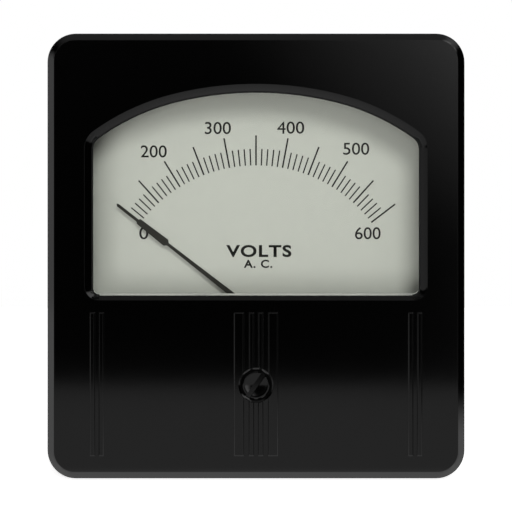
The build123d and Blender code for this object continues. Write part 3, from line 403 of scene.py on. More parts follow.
# Stove enamel on sheet: pale grey-green, dull, with a slight mottle.
DIAL_ENAMEL = Finish(
    "enamel_grey_green_stoved",
    "#d0d2c8", "#c9cbc2", 0.55, 0.05, grain_mm=1.6, relief_mm=0.003,
)
# Printing ink: dense black, a little duller than the enamel.
DIAL_INK = Finish("ink_black_printed", "#181915", "#11120f", 0.6, 0.05, grain_mm=0.3)
# Lacquer on thin aluminium: near black, semi-matt, with a fine spray texture.
POINTER_LACQUER = Finish(
    "lacquer_black_sprayed",
    "#31312c", "#282824", 0.5, 0.06, grain_mm=0.25, relief_mm=0.004,
)
# Moulded rubber: dead black, with hardly a highlight. On the bead behind the window's lip this black is
# painted shade, standing in for the shadow in the gap between the lip and the pane.
SEAL_RUBBER = Finish(
    "rubber_black_moulded",
    "#070707", "#040404", 0.65, 0.1, grain_mm=0.4, relief_mm=0.01,
)
# Machined brass: warm yellow with fine turning marks.
BRASS = Finish(
    "brass_turned",
    "#cfa758", "#b38b43", 0.28, 0.08, 1.0, grain=Grain.TURNED, grain_mm=0.35, relief_mm=0.004,
)
# Nickel on brass: pale, slightly warm metal with faint tarnish.
NICKEL = Finish(
    "nickel_plated_brass",
    "#c9c3b6", "#a79f90", 0.26, 0.08, 1.0, grain=Grain.TURNED, grain_mm=0.5, relief_mm=0.004,
)
# Zinc on steel: blue-grey, soft shine with a cloudy spangle.
ZINC = Finish(
    "zinc_plated_steel",
    "#b4b8bd", "#8f9499", 0.34, 0.1, 1.0, grain_mm=0.8, relief_mm=0.005,
)
# Ground steel: bright and hard, with close marks round the staff.
GROUND_STEEL = Finish(
    "steel_ground",
    "#bfc0c2", "#9fa1a4", 0.2, 0.05, 1.0, grain=Grain.TURNED, grain_mm=0.2,
)
# Annealed iron: dark grey and dull, with a drawn grain.
SOFT_IRON = Finish(
    "iron_annealed",
    "#7d7a76", "#5f5c59", 0.5, 0.1, 1.0, grain=Grain.DRAWN, grain_mm=0.5,
)
# Rolled bronze: reddish gold, smooth along the strip.
BRONZE = Finish(
    "bronze_rolled_strip",
    "#c28b56", "#a8743f", 0.3, 0.05, 1.0, grain=Grain.ROLLED, grain_mm=0.3,
)
# Plain aluminium sheet: pale and soft, with long rolling marks.
ALUMINIUM = Finish(
    "aluminium_rolled_sheet",
    "#d3d4d6", "#b9babd", 0.34, 0.08, 1.0, grain=Grain.ROLLED, grain_mm=0.5, relief_mm=0.003,
)
# Brown phenolic: dark chestnut with a mottled filler.
BROWN_PHENOLIC = Finish(
    "phenolic_brown_moulded",
    "#4a2a17", "#351c0f", 0.38, 0.08, ior=1.55, grain_mm=0.9, relief_mm=0.01,
)
# Vulcanised fibre: brick red, dry and slightly woolly.
RED_FIBRE = Finish(
    "fibre_red_vulcanised",
    "#7a2f22", "#612318", 0.6, 0.08, grain_mm=0.4, relief_mm=0.01,
)
# Varnished cotton sleeve: off-black, with a coarse weave under the varnish.
COTTON_SLEEVE = Finish(
    "sleeve_cotton_varnished",
    "#2f2e2b", "#22211f", 0.55, 0.1, grain_mm=0.25, relief_mm=0.05,
)
# Enamelled copper: red-brown turns side by side under a clear coat.
COIL_COPPER = WoundWire("copper_enamelled_wound", "#9a4f28", "#4f2411", 0.3)
# Resistance wire: olive-brown turns, finer than the coil's.
RESISTANCE_WIRE = WoundWire("resistance_wire_varnished", "#6e5a3c", "#3c301f", 0.22)
CLEAR_PANE = ClearPane()
GROUND_PANE = GroundPane()
FLOOR_PAPER = LitPaper()


def dress(node: str, finish: Surface) -> None:
    """Gives a CAD node's own object a finish.

    Args:
        node: CAD node's name.
        finish: Finish that it gets.
    """
    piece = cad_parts[node]
    material = finish.material()
    for slot in piece.material_slots:
        slot.material = material
    LOG.info("dressed %s in %s", node, finish.name)


def new_object(name: str, data: bpy.types.ID) -> Piece:
    """Links a new object to the scene.

    Args:
        name: Object's name.
        data: Mesh, curve, lamp or lens that it holds.

    Returns:
        The object.
    """
    made = bpy.data.objects.new(name, data)
    bpy.context.scene.collection.objects.link(made)
    return made


def new_piece(name: str, form: Form, finish: Surface) -> Piece:
    """Makes an object of a mesh under construction.

    Args:
        name: New piece's name.
        form: Mesh under construction, freed here.
        finish: Finish that it gets.

    Returns:
        The new piece, at the origin.
    """
    mesh = bpy.data.meshes.new(name)
    form.to_mesh(mesh)
    form.free()
    mesh.materials.append(finish.material())
    return new_object(name, mesh)


def applied(piece: Piece) -> Piece:
    """Turns an object's modifiers, or a curve's outline, into a plain mesh.

    Args:
        piece: Object with live modifiers, or a curve.

    Returns:
        The same object with a plain mesh, or a new mesh object in place of a curve.
    """
    graph = bpy.context.evaluated_depsgraph_get()
    mesh = bpy.data.meshes.new_from_object(piece.evaluated_get(graph), depsgraph=graph)
    name = piece.name
    if piece.type == "MESH":
        piece.modifiers.clear()
        piece.data = mesh
        return piece
    bpy.data.objects.remove(piece)
    return new_object(name, mesh)


def finish_piece(piece: Piece, body: str, nodes: tuple[str, ...] = ()) -> None:
    """Makes a piece ride on its body, and hides any CAD nodes that it replaces.

    Args:
        piece: Finished object at the origin.
        body: CAD body that carries it.
        nodes: CAD nodes that it replaces.
    """
    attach(piece, body)
    if nodes:
        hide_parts(*nodes)
    LOG.info("built %s on %s, %d faces", piece.name, body, len(piece.data.polygons))


def joined(node: str) -> Form:
    """Copies a CAD node's mesh and joins its loose triangles.

    Args:
        node: CAD node's name.

    Returns:
        The copy, as a mesh under construction.
    """
    form = bmesh.new()
    form.from_mesh(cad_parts[node].data)
    bmesh.ops.remove_doubles(form, verts=form.verts, dist=MERGE_MM * MM)
    return form


def softened(
    node: str, name: str, edge_mm: float, finish: Surface, reshape: Callable[[Form], None] | None = None
) -> Piece:
    """Copies a CAD node, joins its loose triangles and rounds its sharp edges a little.

    Args:
        node: CAD node's name.
        name: New piece's name.
        edge_mm: Width of the rounding.
        finish: Finish that it gets.
        reshape: Change made to the joined mesh before its edges are rounded.

    Returns:
        The new piece, at the origin and inside the node's own box.
    """
    form = joined(node)
    if reshape is not None:
        reshape(form)
    bmesh.ops.dissolve_limit(form, angle_limit=FLAT_ANGLE, verts=form.verts, edges=form.edges)
    piece = new_piece(name, form, finish)
    piece.data.shade_smooth()
    bevel = piece.modifiers.new("edge", "BEVEL")
    bevel.width = edge_mm * MM
    bevel.segments = EDGE_STEPS
    bevel.limit_method = "ANGLE"
    bevel.angle_limit = EDGE_ANGLE
    bevel.use_clamp_overlap = False
    even = piece.modifiers.new("even", "WEIGHTED_NORMAL")
    even.weight = LARGE_FACE_WEIGHT
    even.thresh = LARGE_FACE_MARGIN
    applied(piece)
    low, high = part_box(node)
    for vertex in piece.data.vertices:
        vertex.co = [min(max(c, a), b) for c, a, b in zip(vertex.co, low, high)]
    return piece


@dataclass
class FrontCover:
    """Moulded gloss cover with its ribs, window lip and the groove round the adjuster."""

    edge_mm: float = 0.05
    face_y: float = -24.0
    lip_y: float = -22.55
    sill_lip_z: float = -9.1
    sill_bevel: float = 0.9
    sill_rise: float = 0.1
    corner_r: float = 2.3
    adjuster_z: float = -29.35
    groove_r: float = 3.4
    groove_y: float = -23.35
    groove_depth: float = 0.4

    def build(self) -> None:
        """Builds the cover from its CAD form with rounded edges."""
        piece = softened("front_cover", "cover_shell", self.edge_mm, GLOSS_PHENOLIC, self.reshape)
        finish_piece(piece, "case", ("front_cover",))

    def reshape(self, form: Form) -> None:
        """Lays the sill's bevel at a plain 45 degrees, lifts its lip and makes the groove shallow.

        Args:
            form: Joined mesh of the cover.
        """
        sill_step = self.lip_y - self.face_y - self.sill_bevel
        for vertex in form.verts:
            x, y, z = vertex.co / MM
            rise = z - self.sill_lip_z
            from_groove = abs(math.hypot(x, z - self.adjuster_z) - self.groove_r)
            if abs(y - self.lip_y) < SAME_MM and rise < self.corner_r:
                vertex.co.y -= sill_step * (1 - max(rise, 0) / self.corner_r) ** 2 * MM
            if abs(rise) < SAME_MM and y > self.face_y:
                vertex.co.z += self.sill_rise * MM
            if abs(y - self.groove_y) < SAME_MM and from_groove < NEAR_MM:
                vertex.co.y = (self.face_y + self.groove_depth) * MM


@dataclass
class Window:
    """Pane with its bead, gasket, clips and screws, held behind the cover's lip; the bead's black edge
    is painted shade.
    """

    cover: FrontCover
    arris_slope: tuple[float, float] = (0.5, 0.9)
    bead_half_width: float = 0.3
    bead_half_depth: float = 0.35
    bead_corners: int = 12

    def build(self) -> None:
        """Builds the pane with its ground arris and its bead, and dresses what holds it."""
        finish_piece(self.pane(), "case", ("window_pane",))
        finish_piece(self.bead(), "case")
        dress("window_gasket", SEAL_RUBBER)
        dress("window_clips", ZINC)
        dress("window_clip_screws", ZINC)

    def pane(self) -> Piece:
        """Copies the pane's CAD form with its sloping front edge left ground.

        Returns:
            The new piece, at the origin.
        """
        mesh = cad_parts["window_pane"].data.copy()
        mesh.materials.clear()
        mesh.materials.append(CLEAR_PANE.material())
        mesh.materials.append(GROUND_PANE.material())
        low, high = self.arris_slope
        for face in mesh.polygons:
            face.material_index = 1 if low < -face.normal.y < high else 0
        return new_object("glazing", mesh)

    def bead(self) -> Piece:
        """Runs a rubber bead behind the cover's lip, up both sides and over the arch: painted shade for
        the gap between lip and pane.

        Returns:
            The new piece, at the origin.
        """
        lip_y, sill_z = self.cover.lip_y, self.cover.sill_lip_z
        cover = joined("front_cover")
        lip = [v for v in cover.verts if abs(v.co.y / MM - lip_y) < SAME_MM]
        lip = [v for v in lip if v.co.z / MM > sill_z - self.bead_half_width]
        order = {v: place for place, v in enumerate(lip)}
        edges = []
        for edge in cover.edges:
            start, end = edge.verts
            on_sill = max(start.co.z, end.co.z) / MM < sill_z + SAME_MM
            if start in order and end in order and not on_sill:
                edges.append((order[start], order[end]))
        points = [(v.co.x, v.co.z, 0.0) for v in lip]
        cover.free()
        sizes = {
            "Half width": self.bead_half_width * MM,
            "Half depth": self.bead_half_depth * MM,
            "Corners": self.bead_corners,
            "Rubber": SEAL_RUBBER.material(),
        }
        # The bead stands just inside the lip as a dead-black line of painted shade, where the gap
        # between the lip and the pane lies in shadow.
        piece = grown("shade_gap_bead", bead_tree(), sizes, points, edges)
        place = Matrix.Translation((0, (lip_y + self.bead_half_depth) * MM, 0))
        piece.data.transform(place @ Matrix.Rotation(QUARTER_TURN, 4, "X"))
        return piece


class Weight(Enum):
    """Thickening of a letter's strokes, as a share of its height; a 4 fills in at any but none."""

    PLAIN = 0.0
    FIRM = 0.006
    BOLD = 0.03


@dataclass(frozen=True)
class Lettering:
    """One printed word or number by its middle and its outline."""

    text: str
    middle_x: float
    middle_z: float
    width: float
    height: float
    weight: Weight


@dataclass
class Dial:
    """Enamelled plate with its printed scale and lettering."""

    centre_z: float = -13.17
    half_angle: float = 52.6
    lines: int = 51
    lines_per_number: int = 5
    inner_r: float = 35.05
    short_r: float = 39.05
    long_r: float = 42.3
    short_width: float = 0.31
    long_width: float = 0.38
    ink_mm: float = 0.03
    letter_space: float = 1.12
    letter_steps: int = 6
    words: tuple[Lettering, ...] = (
        Lettering("0", -27.1, 5.5, 2.2, 2.95, Weight.FIRM),
        Lettering("200", -24.7, 25.25, 6.3, 2.95, Weight.FIRM),
        Lettering("300", -9.2, 30.9, 6.3, 2.95, Weight.FIRM),
        Lettering("4", 6.13, 31.0, 2.05, 2.95, Weight.PLAIN),
        Lettering("00", 9.51, 31.0, 4.28, 2.95, Weight.FIRM),
        Lettering("500", 24.2, 25.9, 6.3, 2.95, Weight.FIRM),
        Lettering("600", 27.0, 5.5, 6.2, 2.95, Weight.FIRM),
        Lettering("VOLTS", 0.68, 1.2, 15.75, 2.95, Weight.BOLD),
        Lettering("A. C.", 0.5, -1.9, 6.9, 2.0, Weight.BOLD),
    )

    def build(self) -> None:
        """Dresses the plate and prints the scale and the words on it."""
        dress("dial_plate", DIAL_ENAMEL)
        dress("dial_screws", ZINC)
        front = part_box("dial_plate")[0].y
        finish_piece(self.scale(front), "case")
        finish_piece(self.lettering(front), "case")

    def scale(self, front: float) -> Piece:
        """Grows the scale lines about the scale's own centre.

        Args:
            front: Y of the plate's face, in metres.

        Returns:
            The printed scale.
        """
        sizes = {
            "Lines": self.lines,
            "Lines per number": self.lines_per_number,
            "First angle": -math.radians(self.half_angle),
            "Last angle": math.radians(self.half_angle),
            "Ink": DIAL_INK.material(),
        }
        rows = (("Short", self.short_r, self.short_width), ("Long", self.long_r, self.long_width))
        for kind, outer_r, width in rows:
            sizes[f"{kind} size"] = Vector((width, self.ink_mm, outer_r - self.inner_r)) * MM
            sizes[f"{kind} middle"] = Vector((0, 0, (outer_r + self.inner_r) / 2)) * MM
        piece = grown("dial_scale", scale_tree(), sizes)
        piece.data.transform(Matrix.Translation((0, front, self.centre_z * MM)))
        return piece

    def lettering(self, front: float) -> Piece:
        """Prints every word on the plate as one piece.

        Args:
            front: Y of the plate's face, in metres.

        Returns:
            The printed words.
        """
        sheet = bmesh.new()
        for word in self.words:
            mesh = self.word_mesh(word, front)
            sheet.from_mesh(mesh)
            bpy.data.meshes.remove(mesh)
        return new_piece("dial_lettering", sheet, DIAL_INK)

    def word_mesh(self, word: Lettering, front: float) -> bpy.types.Mesh:
        """Sets one word in type, fits it to its outline and turns it to face the viewer.

        Args:
            word: Word with its place and outline.
            front: Y of the plate's face, in metres.

        Returns:
            A mesh in the frame's axes.
        """
        curve = bpy.data.curves.new(word.text, "FONT")
        curve.body = word.text
        curve.offset = word.weight.value
        curve.space_character = self.letter_space if word.weight is Weight.BOLD else 1.0
        curve.resolution_u = self.letter_steps
        piece = applied(new_object("word", curve))
        mesh = piece.data
        bpy.data.objects.remove(piece)
        xs = [v.co.x for v in mesh.vertices]
        ys = [v.co.y for v in mesh.vertices]
        wide = word.width * MM / (max(xs) - min(xs))
        tall = word.height * MM / (max(ys) - min(ys))
        middle = Matrix.Translation((-(max(xs) + min(xs)) / 2, -(max(ys) + min(ys)) / 2, 0))
        upright = Matrix.Rotation(QUARTER_TURN, 4, "X")
        ink_y = front - self.ink_mm * MM / 2
        place = Matrix.Translation((word.middle_x * MM, ink_y, word.middle_z * MM))
        mesh.transform(place @ upright @ Matrix.Diagonal((wide, tall, 1, 1)) @ middle)
        return mesh


def new_tree(name: str, inputs: dict[str, str]) -> tuple[Tree, Sockets, Node]:
    """Starts a geometry node tree with named inputs and one geometry output.

    Args:
        name: Tree's name.
        inputs: Kinds of socket by input name.

    Returns:
        The tree, the sockets of its named inputs, and its group output.
    """
    tree = bpy.data.node_groups.new(name, "GeometryNodeTree")
    for label, kind in inputs.items():
        tree.interface.new_socket(label, in_out="INPUT", socket_type=f"NodeSocket{kind}")
    tree.interface.new_socket("Geometry", in_out="OUTPUT", socket_type="NodeSocketGeometry")
    return tree, tree.nodes.new("NodeGroupInput").outputs, tree.nodes.new("NodeGroupOutput")


def end_tree(tree: Tree, result: Node, shape: Socket, material: Socket) -> None:
    """Ends a geometry node tree in Realize Instances and Set Material.

    Args:
        tree: Geometry node tree.
        result: Its group output.
        shape: Geometry that the tree has made.
        material: Material that it gets.
    """
    real = add_node(tree, "GeometryNodeRealizeInstances", None, {0: shape})
    links = {"Geometry": real.outputs[0], "Material": material}
    dressed = add_node(tree, "GeometryNodeSetMaterial", None, links)
    wire(tree, result, None, {0: dressed.outputs[0]})


def grown(
    name: str,
    tree: Tree,
    sizes: dict[str, object],
    points: list[tuple[float, float, float]] | None = None,
    edges: list[tuple[int, int]] | None = None,
) -> Piece:
    """Runs a geometry node tree with its inputs set, and keeps the result as a plain mesh.

    Args:
        name: New piece's name.
        tree: Geometry node tree.
        sizes: Values by input name.
        points: Places in metres that the tree takes as its geometry.
        edges: Pairs of those places that are joined.

    Returns:
        The new piece, at the origin.
    """
    mesh = bpy.data.meshes.new(name)
    mesh.from_pydata(points or [], edges or [], [])
    piece = new_object(name, mesh)
    modifier = piece.modifiers.new("grown", "NODES")
    modifier.node_group = tree
    inputs = {i.name: i.identifier for i in tree.interface.items_tree if i.in_out == "INPUT"}
    for label, value in sizes.items():
        modifier[inputs[label]] = value
    return applied(piece)


def bead_tree() -> Tree:
    """Builds the tree that runs an oval bead along the edges it is given.

    Returns:
        The geometry node tree.
    """
    inputs = {
        "Geometry": "Geometry",
        "Half width": "Float",
        "Half depth": "Float",
        "Corners": "Int",
        "Rubber": "Material",
    }
    tree, sizes, result = new_tree("lip_bead", inputs)
    path = add_node(tree, "GeometryNodeMeshToCurve", None, {0: sizes["Geometry"]})
    upright = add_node(tree, "GeometryNodeSetCurveNormal", {"mode": "Z_UP"}, {0: path.outputs[0]})
    ring = add_node(
        tree, "GeometryNodeCurvePrimitiveCircle", {"Radius": 1.0}, {"Resolution": sizes["Corners"]}
    )
    halves = {0: sizes["Half width"], 1: sizes["Half depth"]}
    spread = add_node(tree, "ShaderNodeCombineXYZ", {2: 1.0}, halves)
    links = {"Geometry": ring.outputs[0], "Scale": spread.outputs[0]}
    oval = add_node(tree, "GeometryNodeTransform", None, links)
    links = {"Curve": upright.outputs[0], "Profile Curve": oval.outputs[0]}
    bead = add_node(tree, "GeometryNodeCurveToMesh", {"Fill Caps": True}, links)
    end_tree(tree, result, bead.outputs[0], sizes["Rubber"])
    return tree


def scale_tree() -> Tree:
    """Builds the tree that sets short and long scale lines round the scale's centre.

    Returns:
        The geometry node tree.
    """
    inputs = {
        "Lines": "Int",
        "Lines per number": "Int",
        "First angle": "Float",
        "Last angle": "Float",
        "Short size": "Vector",
        "Short middle": "Vector",
        "Long size": "Vector",
        "Long middle": "Vector",
        "Ink": "Material",
    }
    tree, sizes, result = new_tree("scale_lines", inputs)
    points = add_node(tree, "GeometryNodePoints", None, {"Count": sizes["Lines"]})
    index = add_node(tree, "GeometryNodeInputIndex").outputs[0]
    last = add_node(tree, "ShaderNodeMath", {"operation": "SUBTRACT", 1: 1.0}, {0: sizes["Lines"]})
    angles = {"To Min": sizes["First angle"], "To Max": sizes["Last angle"]}
    links = {"Value": index, "From Max": last.outputs[0], **angles}
    swing = add_node(tree, "ShaderNodeMapRange", None, links)
    turn = add_node(tree, "ShaderNodeCombineXYZ", None, {"Y": swing.outputs["Result"]})
    rotation = add_node(tree, "FunctionNodeEulerToRotation", None, {0: turn.outputs[0]})
    links = {0: index, 1: sizes["Lines per number"]}
    past_number = add_node(tree, "ShaderNodeMath", {"operation": "MODULO"}, links).outputs[0]
    both = add_node(tree, "GeometryNodeJoinGeometry")
    for kind, test in (("Short", "GREATER_THAN"), ("Long", "LESS_THAN")):
        chosen = add_node(tree, "ShaderNodeMath", {"operation": test, 1: 0.5}, {0: past_number})
        line = add_node(tree, "GeometryNodeMeshCube", None, {"Size": sizes[f"{kind} size"]})
        links = {"Geometry": line.outputs["Mesh"], "Translation": sizes[f"{kind} middle"]}
        moved = add_node(tree, "GeometryNodeTransform", None, links)
        links = {
            "Points": points.outputs[0],
            "Selection": chosen.outputs[0],
            "Instance": moved.outputs[0],
            "Rotation": rotation.outputs[0],
        }
        row = add_node(tree, "GeometryNodeInstanceOnPoints", None, links)
        wire(tree, both, None, {0: row.outputs[0]})
    end_tree(tree, result, both.outputs[0], sizes["Ink"])
    return tree


@dataclass
class Pointer:
    """Lacquered blade with a spade.

    Each shoulder is a pair of distances along the blade from the staff: the CAD form's and its own.
    """

    edge_mm: float = 0.03
    pivot_z: float = -13.67
    rest_angle: float = -52.0
    shoulders: Pairs = ((27.62, 27.36), (35.12, 35.68))

    def build(self) -> None:
        """Builds the blade from its CAD form with a squarer spade."""
        piece = softened("pointer", "pointer_blade", self.edge_mm, POINTER_LACQUER, self.reshape)
        finish_piece(piece, "moving_system", ("pointer",))

    def reshape(self, form: Form) -> None:
        """Draws the spade's shoulders out towards its ends.

        Args:
            form: Joined mesh of the blade.
        """
        turn = math.radians(self.rest_angle)
        along = Vector((math.sin(turn), 0, math.cos(turn)))
        staff = Vector((0, 0, self.pivot_z * MM))
        for vertex in form.verts:
            reach = (vertex.co - staff).dot(along) / MM
            for before, after in self.shoulders:
                if abs(reach - before) < NEAR_MM:
                    vertex.co += along * (after - before) * MM


@dataclass
class Movement:
    """Staff, springs, bridges, coil and damping, all CAD nodes in their finishes."""

    brass: tuple[str, ...] = (
        *("pointer_hub", "balance_weight", "hairspring_collet", "zero_arm", "pointer_stops"),
        *("front_bridge", "bridge_pillars", "front_jewel_screw", "front_jewel_nut"),
        *("rear_bridge", "rear_pillars", "rear_jewel_screw", "rear_jewel_nut"),
        *("movement_frame", "frame_posts"),
    )
    zinc: tuple[str, ...] = ("bridge_screws", "frame_screws", "rear_bridge_screws", "resistor_screw")
    leads: tuple[str, ...] = ("supply_lead", "series_lead", "return_lead")

    def build(self) -> None:
        """Dresses every node of the movement."""
        finishes = {
            BRASS: self.brass,
            ZINC: self.zinc,
            GROUND_STEEL: ("staff",),
            BRONZE: ("hairspring",),
            SOFT_IRON: ("fixed_iron", "moving_iron"),
            ALUMINIUM: ("damping_chamber", "damping_lid", "damping_vane"),
            BROWN_PHENOLIC: ("coil_bobbin", "resistor_spool"),
            COIL_COPPER: ("coil_winding",),
            RESISTANCE_WIRE: ("resistor_winding",),
            COTTON_SLEEVE: self.leads,
        }
        for finish, nodes in finishes.items():
            for node in nodes:
                dress(node, finish)


def turned(form: Form, profile: Pairs, line: tuple[float, float], steps: int = CIRCLE_STEPS) -> None:
    """Adds a solid of revolution about a fore-and-aft line.

    Args:
        form: Mesh under construction.
        profile: Radii and depths in millimetres, from the front to the back, inside the ends.
        line: Line's place across and up the face, in millimetres.
        steps: Corners of each circle.
    """
    x, z = line
    rings = []
    for radius, depth in profile:
        ring = []
        for step in range(steps):
            turn = 2 * math.pi * step / steps
            at = (x + radius * math.cos(turn), depth, z + radius * math.sin(turn))
            ring.append(form.verts.new(Vector(at) * MM))
        rings.append(ring)
    for front, back in zip(rings, rings[1:]):
        for step in range(steps):
            after = (step + 1) % steps
            form.faces.new((front[step], front[after], back[after], back[step]))
    form.faces.new(rings[0])
    form.faces.new(rings[-1])


def solid(name: str, form: Form, finish: Surface) -> Piece:
    """Closes a mesh under construction into a smooth-shaded piece with crisp edges.

    Args:
        name: New piece's name.
        form: Mesh under construction, freed here.
        finish: Finish that it gets.

    Returns:
        The new piece, at the origin.
    """
    bmesh.ops.recalc_face_normals(form, faces=form.faces)
    piece = new_piece(name, form, finish)
    piece.data.shade_smooth()
    piece.data.set_sharp_from_angle(angle=CRISP_ANGLE)
    return piece


def thread_tree() -> Tree:
    """Builds the tree that winds a screw thread backwards from each point it is given.

    Returns:
        The geometry node tree.
    """
    inputs = {
        "Geometry": "Geometry",
        "Turns": "Float",
        "Pitch": "Float",
        "Crest radius": "Float",
        "Steps": "Int",
        "Ridge corners": "Int",
        "Metal": "Material",
    }
    tree, sizes, result = new_tree("screw_thread", inputs)
    pitch = sizes["Pitch"]
    half = add_node(tree, "ShaderNodeMath", {"operation": "MULTIPLY", 1: 0.5}, {0: pitch}).outputs[0]
    links = {0: sizes["Crest radius"], 1: half}
    middle = add_node(tree, "ShaderNodeMath", {"operation": "SUBTRACT"}, links).outputs[0]
    links = {0: sizes["Turns"], 1: pitch}
    length = add_node(tree, "ShaderNodeMath", {"operation": "MULTIPLY"}, links).outputs[0]
    links = {
        "Resolution": sizes["Steps"],
        "Rotations": sizes["Turns"],
        "Start Radius": middle,
        "End Radius": middle,
        "Height": length,
    }
    helix = add_node(tree, "GeometryNodeCurveSpiral", None, links)
    upright = add_node(tree, "GeometryNodeSetCurveNormal", {"mode": "Z_UP"}, {0: helix.outputs[0]})
    links = {"Resolution": sizes["Ridge corners"], "Radius": half}
    ridge = add_node(tree, "GeometryNodeCurvePrimitiveCircle", None, links)
    links = {"Curve": upright.outputs[0], "Profile Curve": ridge.outputs[0]}
    wound = add_node(tree, "GeometryNodeCurveToMesh", {"Fill Caps": True}, links)
    flat = add_node(tree, "GeometryNodeSetShadeSmooth", {"Shade Smooth": False}, {0: wound.outputs[0]})
    turn = add_node(tree, "FunctionNodeEulerToRotation", {0: (-QUARTER_TURN, 0, 0)})
    links = {"Points": sizes["Geometry"], "Instance": flat.outputs[0], "Rotation": turn.outputs[0]}
    placed = add_node(tree, "GeometryNodeInstanceOnPoints", None, links)
    end_tree(tree, result, placed.outputs[0], sizes["Metal"])
    return tree


@dataclass
class ThreadedStuds:
    """Row of equal studs: a turned core with a screw thread wound on it."""

    name: str
    node: str
    slot: str
    finish: Finish
    places: Pairs
    front: Pairs
    thread_start: float
    thread_end: float
    end: float
    crest_r: float
    pitch: float
    chamfer: float = 0.4
    steps: int = 24
    ridge_corners: int = 4

    def build(self) -> None:
        """Builds the studs in place of their plain CAD node."""
        core_r = self.crest_r - self.pitch / 2
        tail = (
            (core_r, self.thread_start),
            (core_r, self.end - self.chamfer),
            (core_r - self.chamfer, self.end),
        )
        form = bmesh.new()
        for place in self.places:
            turned(form, (*self.front, *tail), place)
        piece = solid(self.name, form, self.finish)
        sizes = {
            "Turns": (self.thread_end - self.thread_start - self.pitch) / self.pitch,
            "Pitch": self.pitch * MM,
            "Crest radius": self.crest_r * MM,
            "Steps": self.steps,
            "Ridge corners": self.ridge_corners,
            "Metal": self.finish.material(),
        }
        first_y = (self.thread_start + self.pitch / 2) * MM
        starts = [(x * MM, first_y, z * MM) for x, z in self.places]
        thread = grown(f"{self.name}_thread", thread_tree(), sizes, starts)
        finish_piece(piece, "case", (self.node,))
        finish_piece(thread, "case")


@dataclass(frozen=True)
class SlotBar:
    """Straight cut right across a screw's head, by the middle of its mouth.

    Its length is the overrun times the head's radius.
    """

    middle: tuple[float, float, float]
    width: float
    depth: float
    head_r: float
    angle: float
    overrun: float = 4.0


def slotted(piece: Piece, cuts: list[SlotBar]) -> None:
    """Cuts slots across turned heads.

    Args:
        piece: Object that is cut.
        cuts: Slots, each turned clockwise from upright as seen from the front.
    """
    bars = bmesh.new()
    for cut in cuts:
        length = cut.overrun * cut.head_r
        size = Matrix.Diagonal((cut.width * MM, 2 * cut.depth * MM, length * MM, 1))
        place = Matrix.Translation(Vector(cut.middle) * MM)
        turn = Matrix.Rotation(math.radians(cut.angle), 4, "Y")
        bmesh.ops.create_cube(bars, size=1.0, matrix=place @ turn @ size)
    cutter = solid("slot_bars", bars, GLOSS_PHENOLIC)
    slots = piece.modifiers.new("slots", "BOOLEAN")
    slots.operation = "DIFFERENCE"
    slots.object = cutter
    applied(piece)
    piece.data.set_sharp_from_angle(angle=CRISP_ANGLE)
    bpy.data.objects.remove(cutter)


@dataclass
class ZeroAdjuster:
    """Slotted adjuster in the cover's lower face, with its washer and clip behind."""

    cover: FrontCover
    front_y: float = -23.9
    dish_depth: float = 0.3
    dish_r: float = 2.7
    dish_steps: int = 7
    rim: Pairs = (
        (2.78, -23.9),
        (2.85, -23.885),
        (3.28, -23.655),
        (3.33, -23.6),
        (3.34, -23.5),
    )
    shank: Pairs = (
        (3.34, -21.3),
        (2.0, -21.3),
        (2.0, -14.34),
        (1.5, -14.34),
        (1.5, -13.84),
        (2.0, -13.84),
        (2.0, -13.0),
    )
    pin: Pairs = ((0.75, -13.05), (0.75, -11.2))
    pin_throw: float = 1.4
    slot_width: float = 1.15
    slot_depth: float = 1.0
    slot_angle: float = 35.0
    circle_steps: int = 96

    def build(self) -> None:
        """Builds the adjuster with a rounded rim and a slot, and dresses what holds it."""
        centre_z = self.cover.adjuster_z
        form = bmesh.new()
        dish = []
        for step in range(1, self.dish_steps + 1):
            share = step / self.dish_steps
            dish.append((self.dish_r * share, self.front_y + self.dish_depth * (1 - share**2)))
        turned(form, (*dish, *self.rim, *self.shank), (0.0, centre_z), self.circle_steps)
        turned(form, self.pin, (0.0, centre_z - self.pin_throw))
        piece = solid("adjuster_head", form, GLOSS_PHENOLIC)
        mouth = (0.0, self.front_y, centre_z)
        slotted(piece, [SlotBar(mouth, self.slot_width, self.slot_depth, self.dish_r, self.slot_angle)])
        finish_piece(piece, "adjuster", ("zero_adjuster",))
        dress("adjuster_washer", RED_FIBRE)
        dress("adjuster_clip", ZINC)


@dataclass
class CaseScrews:
    """Slotted screws sunk in the flange's back.

    The rim is given by steps inwards from the head's side and forwards from its top.
    """

    places: Pairs = ((-26.025, -43.5), (26.025, -43.5), (-26.025, 43.5), (26.025, 43.5))
    shank_r: float = 1.45
    head_depth: float = 1.5
    rim: Pairs = ((0.0, 0.35), (0.15, 0.12), (0.5, 0.0))
    slot_width: float = 0.8
    slot_depth: float = 0.6
    slot_turns: tuple[float, ...] = (20.0, 75.0, -35.0, 50.0)

    def build(self) -> None:
        """Builds the screws with rounded slotted heads in place of their CAD node."""
        low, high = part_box("case_screws")
        top = high.y / MM
        under = top - self.head_depth
        head_r = (high.x - max(x for x, _ in self.places) * MM) / MM
        shank = ((self.shank_r, low.y / MM), (self.shank_r, under), (head_r, under))
        rim = [(head_r - inwards, top - forwards) for inwards, forwards in self.rim]
        form = bmesh.new()
        cuts = []
        for (x, z), angle in zip(self.places, self.slot_turns):
            turned(form, (*shank, *rim), (x, z))
            cuts.append(SlotBar((x, top, z), self.slot_width, self.slot_depth, head_r, angle))
        piece = solid("case_screw_heads", form, ZINC)
        slotted(piece, cuts)
        finish_piece(piece, "case", ("case_screws",))


